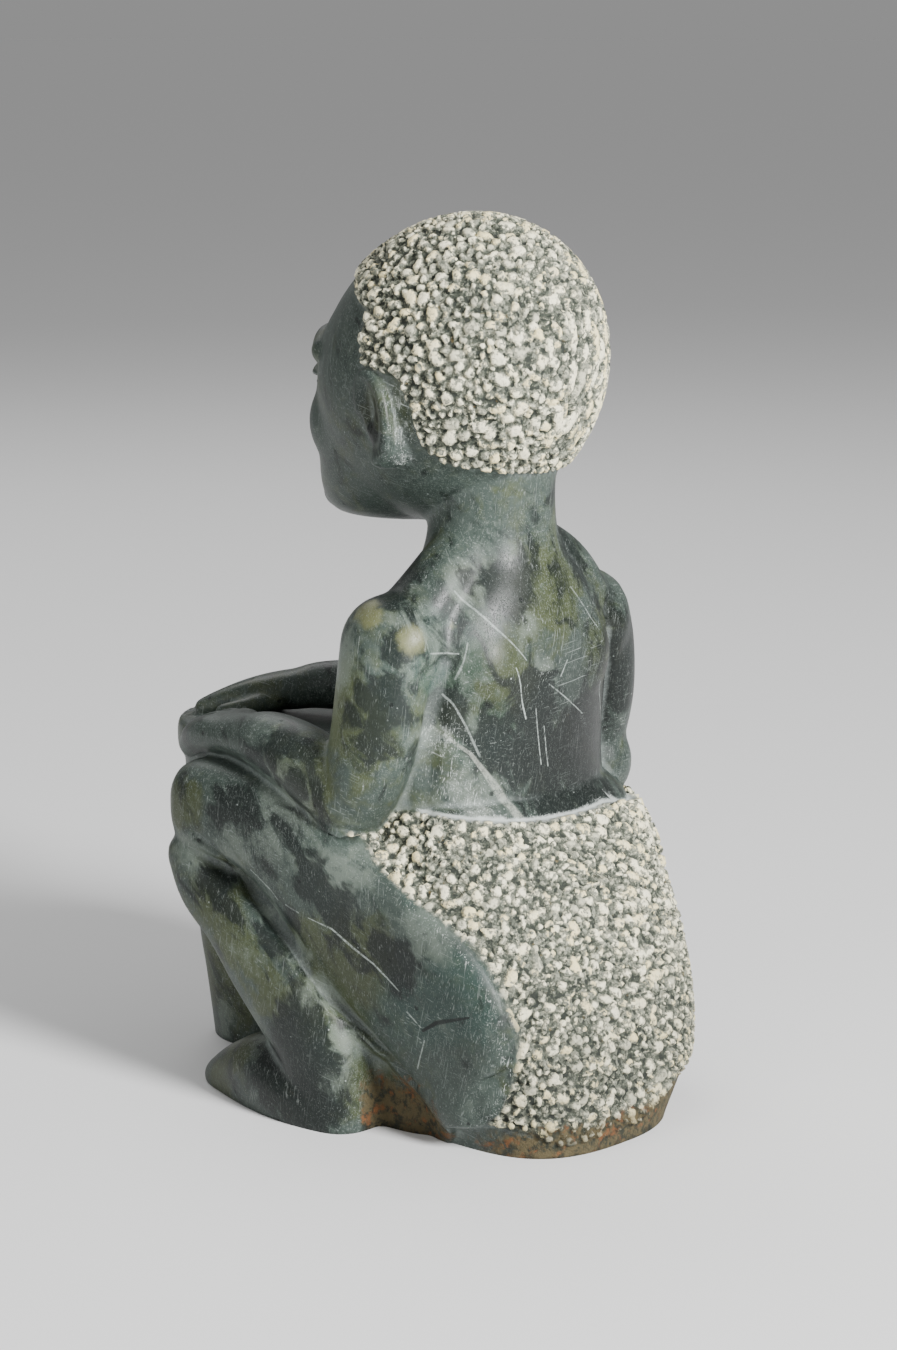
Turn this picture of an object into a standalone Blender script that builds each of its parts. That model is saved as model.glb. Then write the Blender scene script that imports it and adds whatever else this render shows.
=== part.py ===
"""A small stone carving: a seated drummer with a drum between the knees, cut from one block.

The figure faces -Y, its left side is +X, and it stands on z = 0. Every place and half width of the body
is written in parts of its own height, so the pose and proportions stay as they are when HEIGHT changes.
The stock of each region is built from lofted sections and balls, fused by a voxel Remesh and softened by
a Smooth modifier. Then the creases are carved in, the pecked hair and cloth are raised, and the base is
sawn flat.
"""

import math

import bmesh
import bpy
import numpy as np
from mathutils import Euler, Matrix, Vector
from mathutils.kdtree import KDTree

# Driving dimensions, in metres
HEIGHT = 0.2195  # from the base to the top of the hair
HAIR_RELIEF = 0.0010  # how far the pecked hair stands over the skin
CLOTH_RELIEF = 0.0010  # how far the pecked cloth stands over the back
RIGHT_HEM_RELIEF = 0.0020  # how much more it stands out at the right hip
THIGH_RELIEF = 0.0018  # how far the polished thigh stands over the stock it shares with the cloth

# The body's own unit: one part is a millimetre on a figure 219.5 mm tall
PARTS_TALL = 219.5
PART = HEIGHT / PARTS_TALL

# Mesh making, in parts
VOXEL = 1.15
FINE_VOXEL = 0.6
FIGURE_VOXEL = 0.93
TRIANGLES = 9600
SIDES = 28  # points round a section
STEPS = 5  # sections between two stations
SAW_DEPTH = 4.0  # how far the stock runs below the base

STONE = (0.055, 0.075, 0.062, 1.0)
STONE_ROUGHNESS = 0.42
BOTH = (1, -1)


def clear_scene():
    for old in list(bpy.data.objects):
        bpy.data.objects.remove(old)


def stone_material():
    material = bpy.data.materials.new("green_serpentine")
    material.use_nodes = True
    shader = material.node_tree.nodes["Principled BSDF"]
    shader.inputs["Base Color"].default_value = STONE
    shader.inputs["Roughness"].default_value = STONE_ROUGHNESS
    shader.inputs["Metallic"].default_value = 0.0
    return material


# Stock: lofted sections and balls, gathered in one bmesh


def smooth_path(rows, steps=STEPS):
    """Rows of numbers with Catmull-Rom steps between them."""
    rows = np.array(rows, float)
    ends = np.vstack([2 * rows[0] - rows[1], rows, 2 * rows[-1] - rows[-2]])
    out = []
    for a, b, c, d in zip(ends, ends[1:], ends[2:], ends[3:]):
        for t in np.arange(steps) / steps:
            cubic = (3 * b - a - 3 * c + d) * t**3
            out.append(0.5 * (2 * b + (c - a) * t + (2 * a - 5 * b + 4 * c - d) * t**2 + cubic))
    return np.array(out + [rows[-1]])


def section(centre, across, up, half_across, half_up, power, left_power=None):
    """Points round a superellipse: power 2 is an ellipse, and more is squarer. The left half can differ."""
    points = []
    for i in range(SIDES):
        angle = 2 * math.pi * i / SIDES
        c, s = math.cos(angle), math.sin(angle)
        bend = 2 / (left_power if left_power and c > 0 else power)
        x = math.copysign(abs(c) ** bend, c) * half_across
        y = math.copysign(abs(s) ** bend, s) * half_up
        points.append(centre + across * x + up * y)
    return points


def loft(clay, sections):
    """Bridges the sections in order and closes both ends."""
    rings = [[clay.verts.new(p) for p in points] for points in sections]
    faces = []
    for low, high in zip(rings, rings[1:]):
        for i in range(SIDES):
            j = (i + 1) % SIDES
            faces.append(clay.faces.new((low[i], low[j], high[j], high[i])))
    faces.append(clay.faces.new(rings[0][::-1]))
    faces.append(clay.faces.new(rings[-1]))
    bmesh.ops.recalc_face_normals(clay, faces=faces)


def stack(clay, stations, power=2.0, left_power=None):
    """Level sections, bottom to top. A station is (z, half width, y in front, y behind, x of the middle)."""
    across, forward = Vector((1, 0, 0)), Vector((0, 1, 0))
    sections = []
    for z, half_width, front, back, middle in smooth_path([(*s, 0.0)[:5] for s in stations]):
        centre = Vector((middle, (front + back) / 2, z))
        half_depth = (back - front) / 2
        sections.append(section(centre, across, forward, half_width, half_depth, power, left_power))
    loft(clay, sections)


def limb(clay, stations, side=1, power=2.0):
    """Sections square to a path, with round ends. A station is (x, y, z, half across, half up)."""
    rows = smooth_path(stations)
    rows[:, 0] *= side
    last = len(rows) - 1
    sections = []
    for i, row in enumerate(rows):
        along = (Vector(rows[min(i + 1, last)][:3]) - Vector(rows[max(i - 1, 0)][:3])).normalized()
        across = (Vector((1, 0, 0)) - along * along.x).normalized()
        up = along.cross(across)
        rings = [(0.0, 1.0)]
        if i in (0, last):
            ends = [(math.sin(k * math.pi / 7), math.cos(k * math.pi / 7)) for k in (1, 2, 3)]
            rings = [(-reach, share) for reach, share in reversed(ends)] + rings if i == 0 else rings + ends
        for reach, share in rings:
            centre = Vector(row[:3]) + along * reach * min(row[3], row[4])
            sections.append(section(centre, across, up, row[3] * share, row[4] * share, power))
    loft(clay, sections)


def ball(clay, centre, radii, side=1, tilt=0.0):
    """An ellipsoid, tipped about the x axis."""
    place = Matrix.Translation((centre[0] * side, centre[1], centre[2]))
    place = place @ Euler((tilt, 0, 0)).to_matrix().to_4x4() @ Matrix.Diagonal((*radii, 1.0))
    bmesh.ops.create_uvsphere(clay, u_segments=SIDES, v_segments=SIDES // 2, radius=1.0, matrix=place)


# The figure, region by region


def torso(clay):
    stack(
        clay,
        [
            (58, 39, -22, 26),
            (66, 38, -21.5, 24),
            (75, 36.5, -20.5, 22.2),
            (85, 35.5, -20, 21.5),
            (95, 35.5, -20.5, 22),
            (105, 36, -21.5, 23),
            (115, 35.5, -21, 23.5),
            (123, 32, -19, 22.5),
            (130, 26, -16, 20.5),
            (136, 20, -14.5, 18.2),
            (142, 16.8, -14, 17),
            (150, 15.5, -14, 16.8),
            (158, 16, -16, 17),
            (170, 18, -20, 16),
        ],
    )
    for side in BOTH:
        ball(clay, (14, 11, 111), (14, 12, 15), side)
        ball(clay, (14.5, -12.4, 114), (15, 8.4, 11), side)
    limb(clay, [(11, 2, 138, 8, 9), (22, 2.5, 129, 9, 9.4), (32, 1, 120, 8.6, 10.4)])
    limb(clay, [(11, 2, 138, 8, 9), (22, 3, 130, 9, 10), (32, 2, 119, 9, 11)], side=-1)
    ball(clay, (34, -0.2, 117.6), (11.8, 13.6, 12.8))
    ball(clay, (33.8, 1, 114.5), (12, 14, 13.4), side=-1)


def upper_arm(clay, side):
    slimmer = 0.5 if side > 0 else 0.0
    stations = [
        (36, 0, 118, 11, 13),
        (38.5, 0.4, 109, 10.5, 12.6),
        (40.3, -0.4, 97, 10, 12.2),
        (41.8, -2.8, 86, 9.5, 10.8),
        (42.3, -5, 80, 8.8, 9.5),
    ]
    limb(clay, [(x, y, z, across - slimmer, up - slimmer) for x, y, z, across, up in stations], side)
    if side < 0:
        ball(clay, (42.4, -1.2, 77.4), (9.6, 10.8, 11.2), side)


def skull(clay):
    ball(clay, (0, -9.3, 180.6), (32.2, 34.6, 40.3), tilt=-0.79)
    stack(
        clay,
        [
            (143.4, 12, -46.2, -14),
            (146.5, 17, -48.6, -10),
            (152, 21, -49, -4),
            (159, 24, -48, 0),
            (167, 26.5, -47, 2),
            (175, 27.8, -46.2, 4),
            (183, 28, -45.2, 4),
            (191, 26.5, -43.2, 2),
            (198, 22, -39.5, 0),
        ],
    )
    for side in BOTH:
        ball(clay, (13, -33.5, 167.5), (10.5, 10.8, 12.5), side)


def face(clay):
    limb(clay, [(0, -43.2, 187, 3.6, 3.0), (0, -47.6, 176.5, 4.2, 3.6), (0, -51.8, 168, 4.6, 4.0)])
    ball(clay, (0, -52.2, 166.6), (4.8, 4.4, 3.9))
    ball(clay, (0, -46.2, 148), (8.5, 5.4, 5.4))
    for side in BOTH:
        ball(clay, (5.2, -49.2, 165.8), (3.6, 4.0, 3.1), side)
        brow = [(4, -42.6, 187, 3.0, 3.2), (12, -41.6, 187.6, 3.4, 3.6), (20, -36.2, 185, 3.2, 3.4)]
        upper_lip = [(0, -50.2, 158.4, 1.9, 1.8), (3.6, -50.4, 158.9, 2.0, 1.9), (8.6, -47.2, 157.2, 1.1, 1.1)]
        lower_lip = [(0, -49.8, 154.2, 2.2, 2.3), (3.6, -49.3, 154.4, 2.0, 2.0), (8.0, -46.8, 155.8, 1.1, 1.1)]
        for row in (brow, upper_lip, lower_lip):
            limb(clay, row, side)
        ball(clay, (11.8, -39.4, 179), (6.3, 6.6, 4.6), side)


def ear(clay, side):
    rim = []
    for k in range(9):
        angle = math.radians(172 - 32.5 * k)
        thick = min(1.0 + 0.35 * k, 1.7)
        y, z = 5.2 * math.cos(angle), 10.2 * math.sin(angle)
        rim.append((32.6 + 0.16 * y - 0.03 * z, -8.2 + y - 0.16 * z, 171.8 + z, thick, thick))
    limb(clay, rim, side)
    limb(clay, [(28.2, -9.6, 179, 4.8, 5.4), (28.2, -7.4, 171, 5.0, 5.8), (28.0, -5.2, 163, 4.4, 4.0)], side)
    ball(clay, (30.6, -6.4, 162.4), (2.8, 3.0, 3.2), side)


def thigh(clay, side):
    stations = [
        (42.2, -53.5, 72, 11.6, 12.4),
        (42.2, -45, 72, 11.4, 12.6),
        (41.8, -29.5, 68.6, 11, 14),
        (40.8, -14.7, 60.4, 11.2, 17.2),
        (39.2, -0.7, 49.5, 11.4, 20.4),
        (37.4, 12.5, 39.4, 11.7, 21),
        (35, 22.9, 26.4, 11.6, 21),
        (34.2, 29.6, 16, 10.8, 14.6),
        (33.8, 31.8, 14.4, 9.8, 9.8),
    ]
    if side < 0:
        short_end = [(36.4, 9.5, 39.4, 10.9, 18.4), (34.6, 18.5, 31.5, 10, 14.5), (33.6, 23.5, 25.5, 8.6, 9.6)]
        stations = stations[:5] + short_end
    limb(clay, stations, side, power=2.9)
    behind_knee = [(41, -44, 56.5, 6.5, 5), (42, -24, 43, 7.4, 6), (42, -9, 31.6, 7.4, 6), (40, 5, 22.4, 6.6, 5.6)]
    limb(clay, behind_knee, side)


def shin(clay, side):
    limb(
        clay,
        [
            (43.2, -56.5, 60, 10.2, 7.2),
            (44, -51.6, 52, 9.4, 8.4),
            (44.4, -41.5, 45.5, 9.4, 10.3),
            (44.8, -31, 37.4, 9.6, 13),
            (45, -20.8, 29.1, 9.9, 14.2),
            (45.2, -13.2, 19.8, 10, 12.8),
            (45.3, -9.2, 8.2, 10, 11),
            (45.3, -8.4, -1, 10, 10.6),
        ],
        side,
        power=2.6,
    )


def foot(clay, side):
    limb(
        clay,
        [
            (45.4, -8, 2.4, 10.4, 11.4),
            (45.2, -19, 4.2, 11.2, 10.8),
            (43, -31, 5.2, 11.4, 12.4),
            (39.8, -42.5, 3.9, 11, 9.2),
            (37.4, -50.5, 2.2, 10, 6),
            (35.8, -54.8, 1.2, 8, 3.6),
        ],
        side,
        power=2.3,
    )


def forearm_left(clay):
    limb(
        clay,
        [
            (42.3, -6, 80, 8.8, 9.4),
            (43, -20, 87, 8.8, 9.4),
            (42, -33, 90.2, 8.0, 8.0),
            (40.4, -43, 90.4, 7.4, 6.0),
            (38.5, -50, 90, 8.2, 5.2),
        ],
    )


def hand_left(clay):
    limb(
        clay,
        [
            (38.5, -48, 89.6, 8.4, 5.0),
            (35.2, -56, 89.3, 10, 5.2),
            (32, -62.5, 87.4, 10.2, 5.2),
            (30.6, -66.6, 85, 9.4, 4.6),
        ],
        power=2.7,
    )
    limb(clay, [(30, -51, 90, 3.2, 3.2), (24.5, -56.5, 89.3, 2.8, 2.9), (21.5, -62.5, 88.4, 2.4, 2.5)])


def forearm_right(clay):
    limb(
        clay,
        [
            (-42.3, -6, 80, 8.6, 9),
            (-33, -21, 88.5, 8.8, 8.8),
            (-19, -43, 93.6, 7.8, 7.6),
            (-6.5, -60, 94.4, 6.9, 6.4),
            (-1.5, -67.5, 93.2, 7.4, 5.4),
        ],
    )


def hand_right(clay):
    limb(
        clay,
        [
            (-2, -66, 93.4, 7.4, 5.4),
            (3, -75, 91.8, 9.4, 4.8),
            (8, -83.5, 88.8, 9.6, 3.8),
            (10.8, -88.4, 87.0, 8.4, 2.8),
        ],
        power=2.7,
    )
    limb(clay, [(6, -66.5, 91.6, 2.8, 2.8), (13.4, -70.5, 90, 2.7, 2.7), (18.4, -75, 88.8, 2.3, 2.3)])


def hips(clay):
    stack(
        clay,
        [
            (-SAW_DEPTH, 31, 0, 53.8, 8),
            (0, 31.5, -1, 54.1, 8),
            (6, 35, -4, 53.8, 5.2),
            (12, 39, -6, 53.1, 2.6),
            (18, 41, -8, 52.2, 1.6),
            (29, 42.6, -12, 50.3, 1.2),
            (40, 43.2, -16, 46.8, 1),
            (52, 43.2, -22, 40.8, 0.8),
            (62, 42.5, -22, 34.0, 0.2),
            (69, 41.2, -21.5, 28.6, -1),
            (74, 40.2, -21, 24.4, -2.2),
            (79, 36.0, -20.5, 21.8, -0.5),
        ],
        left_power=3.0,
    )


def core(clay):
    """The stone left standing under the lap, between the legs and behind the drum."""
    stack(
        clay,
        [(-SAW_DEPTH, 35, -47, 24), (10, 35, -48, 26), (40, 34, -50, 26), (60, 33, -52, 22), (74, 31, -52, 16)],
        power=3.6,
    )
    stack(clay, [(-SAW_DEPTH, 15, -64, -40), (40, 17, -64, -40), (74, 19, -64, -40)], power=3.6)
    for side in BOTH:
        behind_heel = [(-SAW_DEPTH, 5, -12, 17, 36), (10, 5, -12, 16, 36.5), (24, 4, -14, 10, 37)]
        stack(clay, [(*station[:4], side * station[4]) for station in behind_heel], power=2.6)


def drum(clay):
    middle = -72
    shell = [(-SAW_DEPTH, 18.2), (2, 18.8), (17, 20.6), (30, 22.4), (56, 24.6), (84.5, 25.8)]
    head_rim = [(76.5, 26.0), (78.3, 27.2), (84.4, 27.2), (86, 26.2)]
    for profile in (shell, head_rim):
        stack(clay, [(z, radius, middle - radius, middle + radius) for z, radius in profile])


# Fusing and carving


def mesh_object(name, clay):
    mesh = bpy.data.meshes.new(name)
    clay.to_mesh(mesh)
    clay.free()
    made = bpy.data.objects.new(name, mesh)
    bpy.context.scene.collection.objects.link(made)
    return made


def applied(obj):
    """Replaces an object's mesh by the one that its modifiers give."""
    depsgraph = bpy.context.evaluated_depsgraph_get()
    mesh = bpy.data.meshes.new_from_object(obj.evaluated_get(depsgraph))
    obj.modifiers.clear()
    old, obj.data = obj.data, mesh
    bpy.data.meshes.remove(old)
    return obj


def fuse(obj, voxel, softness):
    """Joins overlapping stock into one skin, and rounds it over about that many parts."""
    remesh = obj.modifiers.new("fuse", "REMESH")
    remesh.mode = "VOXEL"
    remesh.voxel_size = voxel
    soften = obj.modifiers.new("soften", "SMOOTH")
    soften.factor = 0.5
    soften.iterations = max(1, round(4 * (softness / voxel) ** 2))
    return applied(obj)


def region(name, builders, voxel, softness):
    clay = bmesh.new()
    for builder, *details in builders:
        builder(clay, *details)
    return fuse(mesh_object(name, clay), voxel, softness)


def join(name, objects):
    clay = bmesh.new()
    for obj in objects:
        clay.from_mesh(obj.data)
        bpy.data.objects.remove(obj)
    return mesh_object(name, clay)


def coordinates(mesh):
    flat = np.empty(len(mesh.vertices) * 3, np.float32)
    mesh.vertices.foreach_get("co", flat)
    return flat.reshape(-1, 3).astype(float)


def push(mesh, offsets, chosen=slice(None)):
    """Moves vertices out along their normals, by an offset for each."""
    flat = np.empty(len(mesh.vertices) * 3, np.float32)
    mesh.vertex_normals.foreach_get("vector", flat)
    points = coordinates(mesh)
    points[chosen] += flat.reshape(-1, 3)[chosen] * np.asarray(offsets)[:, None]
    mesh.vertices.foreach_set("co", points.astype(np.float32).ravel())
    mesh.update()


def eased(share):
    share = np.clip(share, 0, 1)
    return share * share * (3 - 2 * share)


def distance_to_path(points, path):
    """Distance from each point to a run of straight pieces."""
    best = np.full(len(points), np.inf)
    for a, b in zip(path, path[1:]):
        run = b - a
        share = np.clip((points - a) @ run / (run @ run), 0, 1)
        best = np.minimum(best, np.linalg.norm(points - (a + share[:, None] * run), axis=1))
    return best


def groove(mesh, path, width, depth, side=1, through=None, reach=7.0):
    """Presses a V into the skin along a path. With `through`, the path is seen along that axis, so it only
    has to pass within `reach` of the skin."""
    path = smooth_path(path)
    path[:, 0] *= side
    margin = np.full(3, width)
    if through is not None:
        margin[through] = reach
    points = coordinates(mesh)
    near = np.flatnonzero(((points > path.min(0) - margin) & (points < path.max(0) + margin)).all(1))
    seen = np.ones(3)
    if through is not None:
        seen[through] = 0
    away = distance_to_path(points[near] * seen, path * seen)
    push(mesh, -depth * eased(1 - away / width), near)


def hollow(mesh, centre, radii, depth, side=1):
    """Presses a round hollow into the skin."""
    centre = np.array(centre, float) * (side, 1, 1)
    away = np.linalg.norm((coordinates(mesh) - centre) / radii, axis=1)
    push(mesh, -depth * eased(1 - away))


def fingers(mesh, knuckles, tips, spread, width, depth):
    """Three grooves that part four fingers, seen from above."""
    knuckles, tips, spread = (np.array(v, float) for v in (knuckles, tips, spread))
    for k in (-1, 0, 1):
        start = knuckles + spread * k * 0.42
        end = tips + spread * k * 0.5
        groove(mesh, [start, (start + end) / 2, end], width, depth, through=2, reach=6)


def side_outline_distance(points, outline):
    """Signed distance, inside positive, to a closed outline in the side view, y and z."""
    flat = points[:, 1:]
    corners = np.array(outline, float)
    best = np.full(len(flat), np.inf)
    inside = np.zeros(len(flat), bool)
    for a, b in zip(corners, np.roll(corners, -1, axis=0)):
        run = b - a
        share = np.clip((flat - a) @ run / (run @ run), 0, 1)
        best = np.minimum(best, np.linalg.norm(flat - (a + share[:, None] * run), axis=1))
        crosses = (a[1] > flat[:, 1]) != (b[1] > flat[:, 1])
        rise = run[1] if run[1] else 1.0
        inside ^= crosses & (flat[:, 0] < a[0] + (flat[:, 1] - a[1]) * run[0] / rise)
    return np.where(inside, best, -best)


# The pecked hair's edge, from the brow over the ear to the nape, as (y, z) in the side view
HAIRLINE = [(-60, 206), (-29, 206), (-20, 200), (-12.8, 196.3), (-13.7, 191), (-11.5, 184), (-1, 182), (2, 175)]
HAIRLINE += [(3, 165), (6, 161.5), (18, 158), (60, 157), (60, 260), (-60, 260)]

# The polished thigh's edge over the cloth, as (y, z) in the side view, and the rest of the leg's outline
THIGH_EDGE = [(-2, 73.2), (5.7, 67), (14.8, 61.1), (22.9, 56.4), (30, 51.1), (34.9, 45.7), (39.4, 39.2)]
THIGH_EDGE += [(42.1, 31.5), (42.4, 24), (41.5, 16.8), (39.3, 11.4), (35.1, 7.9), (26.8, 6.1)]
LEG = THIGH_EDGE + [(18, -10), (-70, -10), (-70, 95), (-30, 92), (-6, 76)]
RIGHT_THIGH_SHORTER = 14.0
LIP = 14.0  # how far in from its edge the thigh stands up


def nearest(points, others):
    """For each point, which of the others is nearest and how far away it is."""
    tree = KDTree(len(others))
    for i, other in enumerate(others):
        tree.insert(other, i)
    tree.balance()
    found = [tree.find(point) for point in points]
    return np.array([index for _, index, _ in found]), np.array([away for _, _, away in found])


def waist_height(x):
    """The wrap's top edge: a little higher toward the left arm, and lower at the right hip."""
    return 73.3 + 0.003 * np.clip(x + 5, 0, None) ** 2 - 3.2 * eased((-x - 16) / 20)


def pecked_parts(points, lower_stock):
    """How far each point is inside the hair, inside the cloth and on the thigh's lip, 0 to 1 over the edge.
    Cloth and lip lie on the lower stock alone, not on the forearms that touch it."""
    x, y, z = points.T
    _, away = nearest(points, lower_stock)
    on_lower = eased((2.6 - away) / 1.2)
    hair = np.clip(side_outline_distance(points, HAIRLINE) / 0.9 + 0.5, 0, 1)
    waist = waist_height(x)
    hem = np.interp(x, [-30, -10, 5, 30, 42], [12.5, 10, 4, 3, 9])
    leg_view = points * (0, 1, 1)
    leg_view[:, 1] += np.where(x > 0, 0, RIGHT_THIGH_SHORTER)
    on_leg = side_outline_distance(leg_view, LEG)
    inside = np.minimum(np.minimum(waist - z, z - hem), np.minimum(-on_leg, y + 18))
    cloth = np.clip(inside / 0.9 + 0.5, 0, 1) * on_lower
    from_edge = distance_to_path(leg_view, np.array([(0, *corner) for corner in THIGH_EDGE]))
    lip = np.clip(on_leg / 0.9 + 0.5, 0, 1) * eased(1 - from_edge / LIP) * on_lower * (np.abs(x) > 24)
    return hair, cloth, lip


def lift_over_skin(points, hair, cloth, lip):
    at_right_hip = eased((-points[:, 0] - 8) / 20) * eased((points[:, 2] - 50) / 22)
    cloth_lift = CLOTH_RELIEF + RIGHT_HEM_RELIEF * at_right_hip
    return (HAIR_RELIEF * hair + cloth_lift * cloth + THIGH_RELIEF * lip) / PART


def carve(mesh):
    """Creases that the chisel cut after the form was roughed out."""
    fingers(mesh, (34.6, -57, 92), (30, -70, 86), (10.6, -2.4, 0), 1.7, 1.2)
    fingers(mesh, (4.6, -77.5, 94), (13, -93, 88), (9.6, 5.4, 0), 1.7, 1.0)
    mouth = [(-9, -47, 156.7), (-4, -51.5, 156.4), (0, -52, 156.6), (4, -51.5, 156.4), (9, -47, 156.7)]
    groove(mesh, mouth, 1.5, 1.1, through=1, reach=4)
    for side in BOTH:
        under_arm = [(30.5, 15, 114), (32, 12.6, 104), (33, 11, 94), (34, 10.4, 84), (36, 10.6, 76)]
        groove(mesh, under_arm, 4, 1.5, side)
        for mid_z in (182.4, 176.2):
            groove(mesh, [(5.4, -44, 178.6), (11.8, -46, mid_z), (18.4, -40, 178.8)], 1.2, 0.6, side, 1, 4)
        groove(mesh, [(6.2, -45, 177.6), (11.8, -46.5, 176.9), (17.4, -42, 178)], 1.0, 0.6, side, 1, 4)
        hollow(mesh, (34.2, -9.4, 173), (4, 3.4, 7.6), 2.6, side)
        fold = [(-49.5, 66), (-43, 61.4), (-35, 54.4), (-20.4, 44.6), (-6.5, 32.6), (5.5, 22.4), (15.5, 14)]
        groove(mesh, [(48, y, z) for y, z in fold], 2.0, 2.0, side, 0, 11)
        for toe in range(4):
            x = 30.4 + 3.2 * toe
            groove(mesh, [(x, -52, 5), (x - 0.8, -62, 3)], 1.2, 0.7, side, 2, 9)


def saw_flat(mesh):
    """Cuts the block off at z = 0 and closes it with a flat face."""
    clay = bmesh.new()
    clay.from_mesh(mesh)
    everything = clay.verts[:] + clay.edges[:] + clay.faces[:]
    cut = bmesh.ops.bisect_plane(
        clay, geom=everything, dist=1e-4, plane_co=(0, 0, 0), plane_no=(0, 0, -1), clear_outer=True
    )
    rim = [e for e in cut["geom_cut"] if isinstance(e, bmesh.types.BMEdge)]
    bmesh.ops.triangle_fill(clay, use_beauty=True, use_dissolve=False, edges=rim)
    bmesh.ops.recalc_face_normals(clay, faces=clay.faces[:])
    clay.to_mesh(mesh)
    clay.free()


def centre_on_base(mesh):
    """Moves the carving so that the middle of its outline's box is over the origin."""
    points = coordinates(mesh)
    middle = (points.min(0) + points.max(0)) / 2
    mesh.transform(Matrix.Translation((-middle[0], -middle[1], 0)))


def drummer():
    body = region("body", [(torso,), (skull,), *[(upper_arm, side) for side in BOTH]], VOXEL, 1.9)
    for side in BOTH:
        hollow(body.data, (11.5, -45.5, 179.5), (9.5, 8, 6.5), 2.4, side)
    lower = [(builder, side) for side in BOTH for builder in (thigh, shin, foot)]
    legs = region("legs", [*lower, (hips,), (core,), (drum,)], VOXEL, 0.8)
    hands = [(forearm_left,), (hand_left,), (forearm_right,), (hand_right,)]
    details = region("details", [(face,), *hands, *[(ear, side) for side in BOTH]], FINE_VOXEL, 0.6)
    lower_stock = coordinates(legs.data)
    figure = fuse(join("stone_drummer", [body, legs, details]), FIGURE_VOXEL, 0.9)
    carve(figure.data)
    points = coordinates(figure.data)
    push(figure.data, lift_over_skin(points, *pecked_parts(points, lower_stock)))
    thin = figure.modifiers.new("fewer_faces", "DECIMATE")
    thin.ratio = TRIANGLES / (2 * len(figure.data.polygons))
    thin.use_collapse_triangulate = True
    applied(figure)
    saw_flat(figure.data)
    centre_on_base(figure.data)
    figure.data.transform(Matrix.Scale(PART, 4))
    figure.data.materials.append(stone_material())
    figure.data.shade_smooth()
    figure.data.set_sharp_from_angle(angle=math.radians(40))
    return figure


clear_scene()
drummer()
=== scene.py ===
"""The looks of the stone drummer.

The carving is one stone, so one mesh stands for the CAD solid. It is built by the same steps as the solid,
with finer voxels, and then gets what the solid leaves out: the peck marks on the hair and the cloth as real
relief. Masks for the marks, the dusty creases and the edges, paled by wear and by painted highlight, are
kept as vertex attributes, and one procedural stone material reads them.

Shapes are written in the sculptor's parts, which are millimetres on a figure 219.5 mm tall, with the figure
facing -Y and its left side at +X.
"""

import itertools
import math

import bmesh
import bpy
import numpy as np
from mathutils import Euler, Matrix, Vector, noise
from mathutils.kdtree import KDTree


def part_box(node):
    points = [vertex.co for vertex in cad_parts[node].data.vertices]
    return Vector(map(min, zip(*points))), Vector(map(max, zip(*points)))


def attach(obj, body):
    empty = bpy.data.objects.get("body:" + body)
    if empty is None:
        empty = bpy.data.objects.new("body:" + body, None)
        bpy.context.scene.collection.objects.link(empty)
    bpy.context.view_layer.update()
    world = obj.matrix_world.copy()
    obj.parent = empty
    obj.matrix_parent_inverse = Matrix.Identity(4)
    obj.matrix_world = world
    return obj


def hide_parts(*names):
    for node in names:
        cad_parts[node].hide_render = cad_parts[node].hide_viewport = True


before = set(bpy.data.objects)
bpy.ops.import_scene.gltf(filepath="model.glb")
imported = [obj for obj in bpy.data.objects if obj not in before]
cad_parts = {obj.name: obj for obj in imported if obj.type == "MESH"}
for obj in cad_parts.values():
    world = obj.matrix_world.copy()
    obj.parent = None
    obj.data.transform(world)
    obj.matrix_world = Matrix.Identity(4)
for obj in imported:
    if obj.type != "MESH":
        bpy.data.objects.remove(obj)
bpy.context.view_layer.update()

# Sizes, in metres
HEIGHT = 0.2195  # from the base to the top of the hair
HAIR_RELIEF = 0.0010  # how far the pecked hair stands over the skin
CLOTH_RELIEF = 0.0010  # how far the pecked cloth stands over the back
RIGHT_HEM_RELIEF = 0.0020  # how much more it stands out at the right hip
THIGH_RELIEF = 0.0018  # how far the polished thigh stands over the stock it shares with the cloth

PARTS_TALL = 219.5
PART = HEIGHT / PARTS_TALL
DRUM_FRONT = -99.2  # the drum rim's front, where the CAD's box begins

# Mesh making, in parts
VOXEL = 0.85
FINE_VOXEL = 0.6
SKIN_VOXEL = 0.55
TRIANGLES = 188000
SIDES = 48
STEPS = 8
SAW_DEPTH = 4.0

# Peck marks, in parts
MARK_SPACING = 2.3
MARK_RADIUS = 1.3
MARK_RELIEF = 1.0
MARK_SQUARENESS = 2.8  # as the power of a superellipse
MARK_TRIES = 60000
MARKS_WITHIN_REACH = 7  # how many marks round a point can cover it
EDGE = 0.9  # how far a mask takes to fade in
SEED = 11

BOTH = (1, -1)

# Stock: lofted sections and balls, gathered in one bmesh


def smooth_path(rows, steps=STEPS):
    """Rows of numbers with Catmull-Rom steps between them."""
    rows = np.array(rows, float)
    ends = np.vstack([2 * rows[0] - rows[1], rows, 2 * rows[-1] - rows[-2]])
    out = []
    for a, b, c, d in zip(ends, ends[1:], ends[2:], ends[3:]):
        for t in np.arange(steps) / steps:
            cubic = (3 * b - a - 3 * c + d) * t**3
            out.append(0.5 * (2 * b + (c - a) * t + (2 * a - 5 * b + 4 * c - d) * t**2 + cubic))
    return np.array(out + [rows[-1]])


def section(centre, across, up, half_across, half_up, power, left_power=None):
    """Points round a superellipse: power 2 is an ellipse, and more is squarer. The left half can differ."""
    points = []
    for i in range(SIDES):
        angle = 2 * math.pi * i / SIDES
        c, s = math.cos(angle), math.sin(angle)
        bend = 2 / (left_power if left_power and c > 0 else power)
        x = math.copysign(abs(c) ** bend, c) * half_across
        y = math.copysign(abs(s) ** bend, s) * half_up
        points.append(centre + across * x + up * y)
    return points


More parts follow.
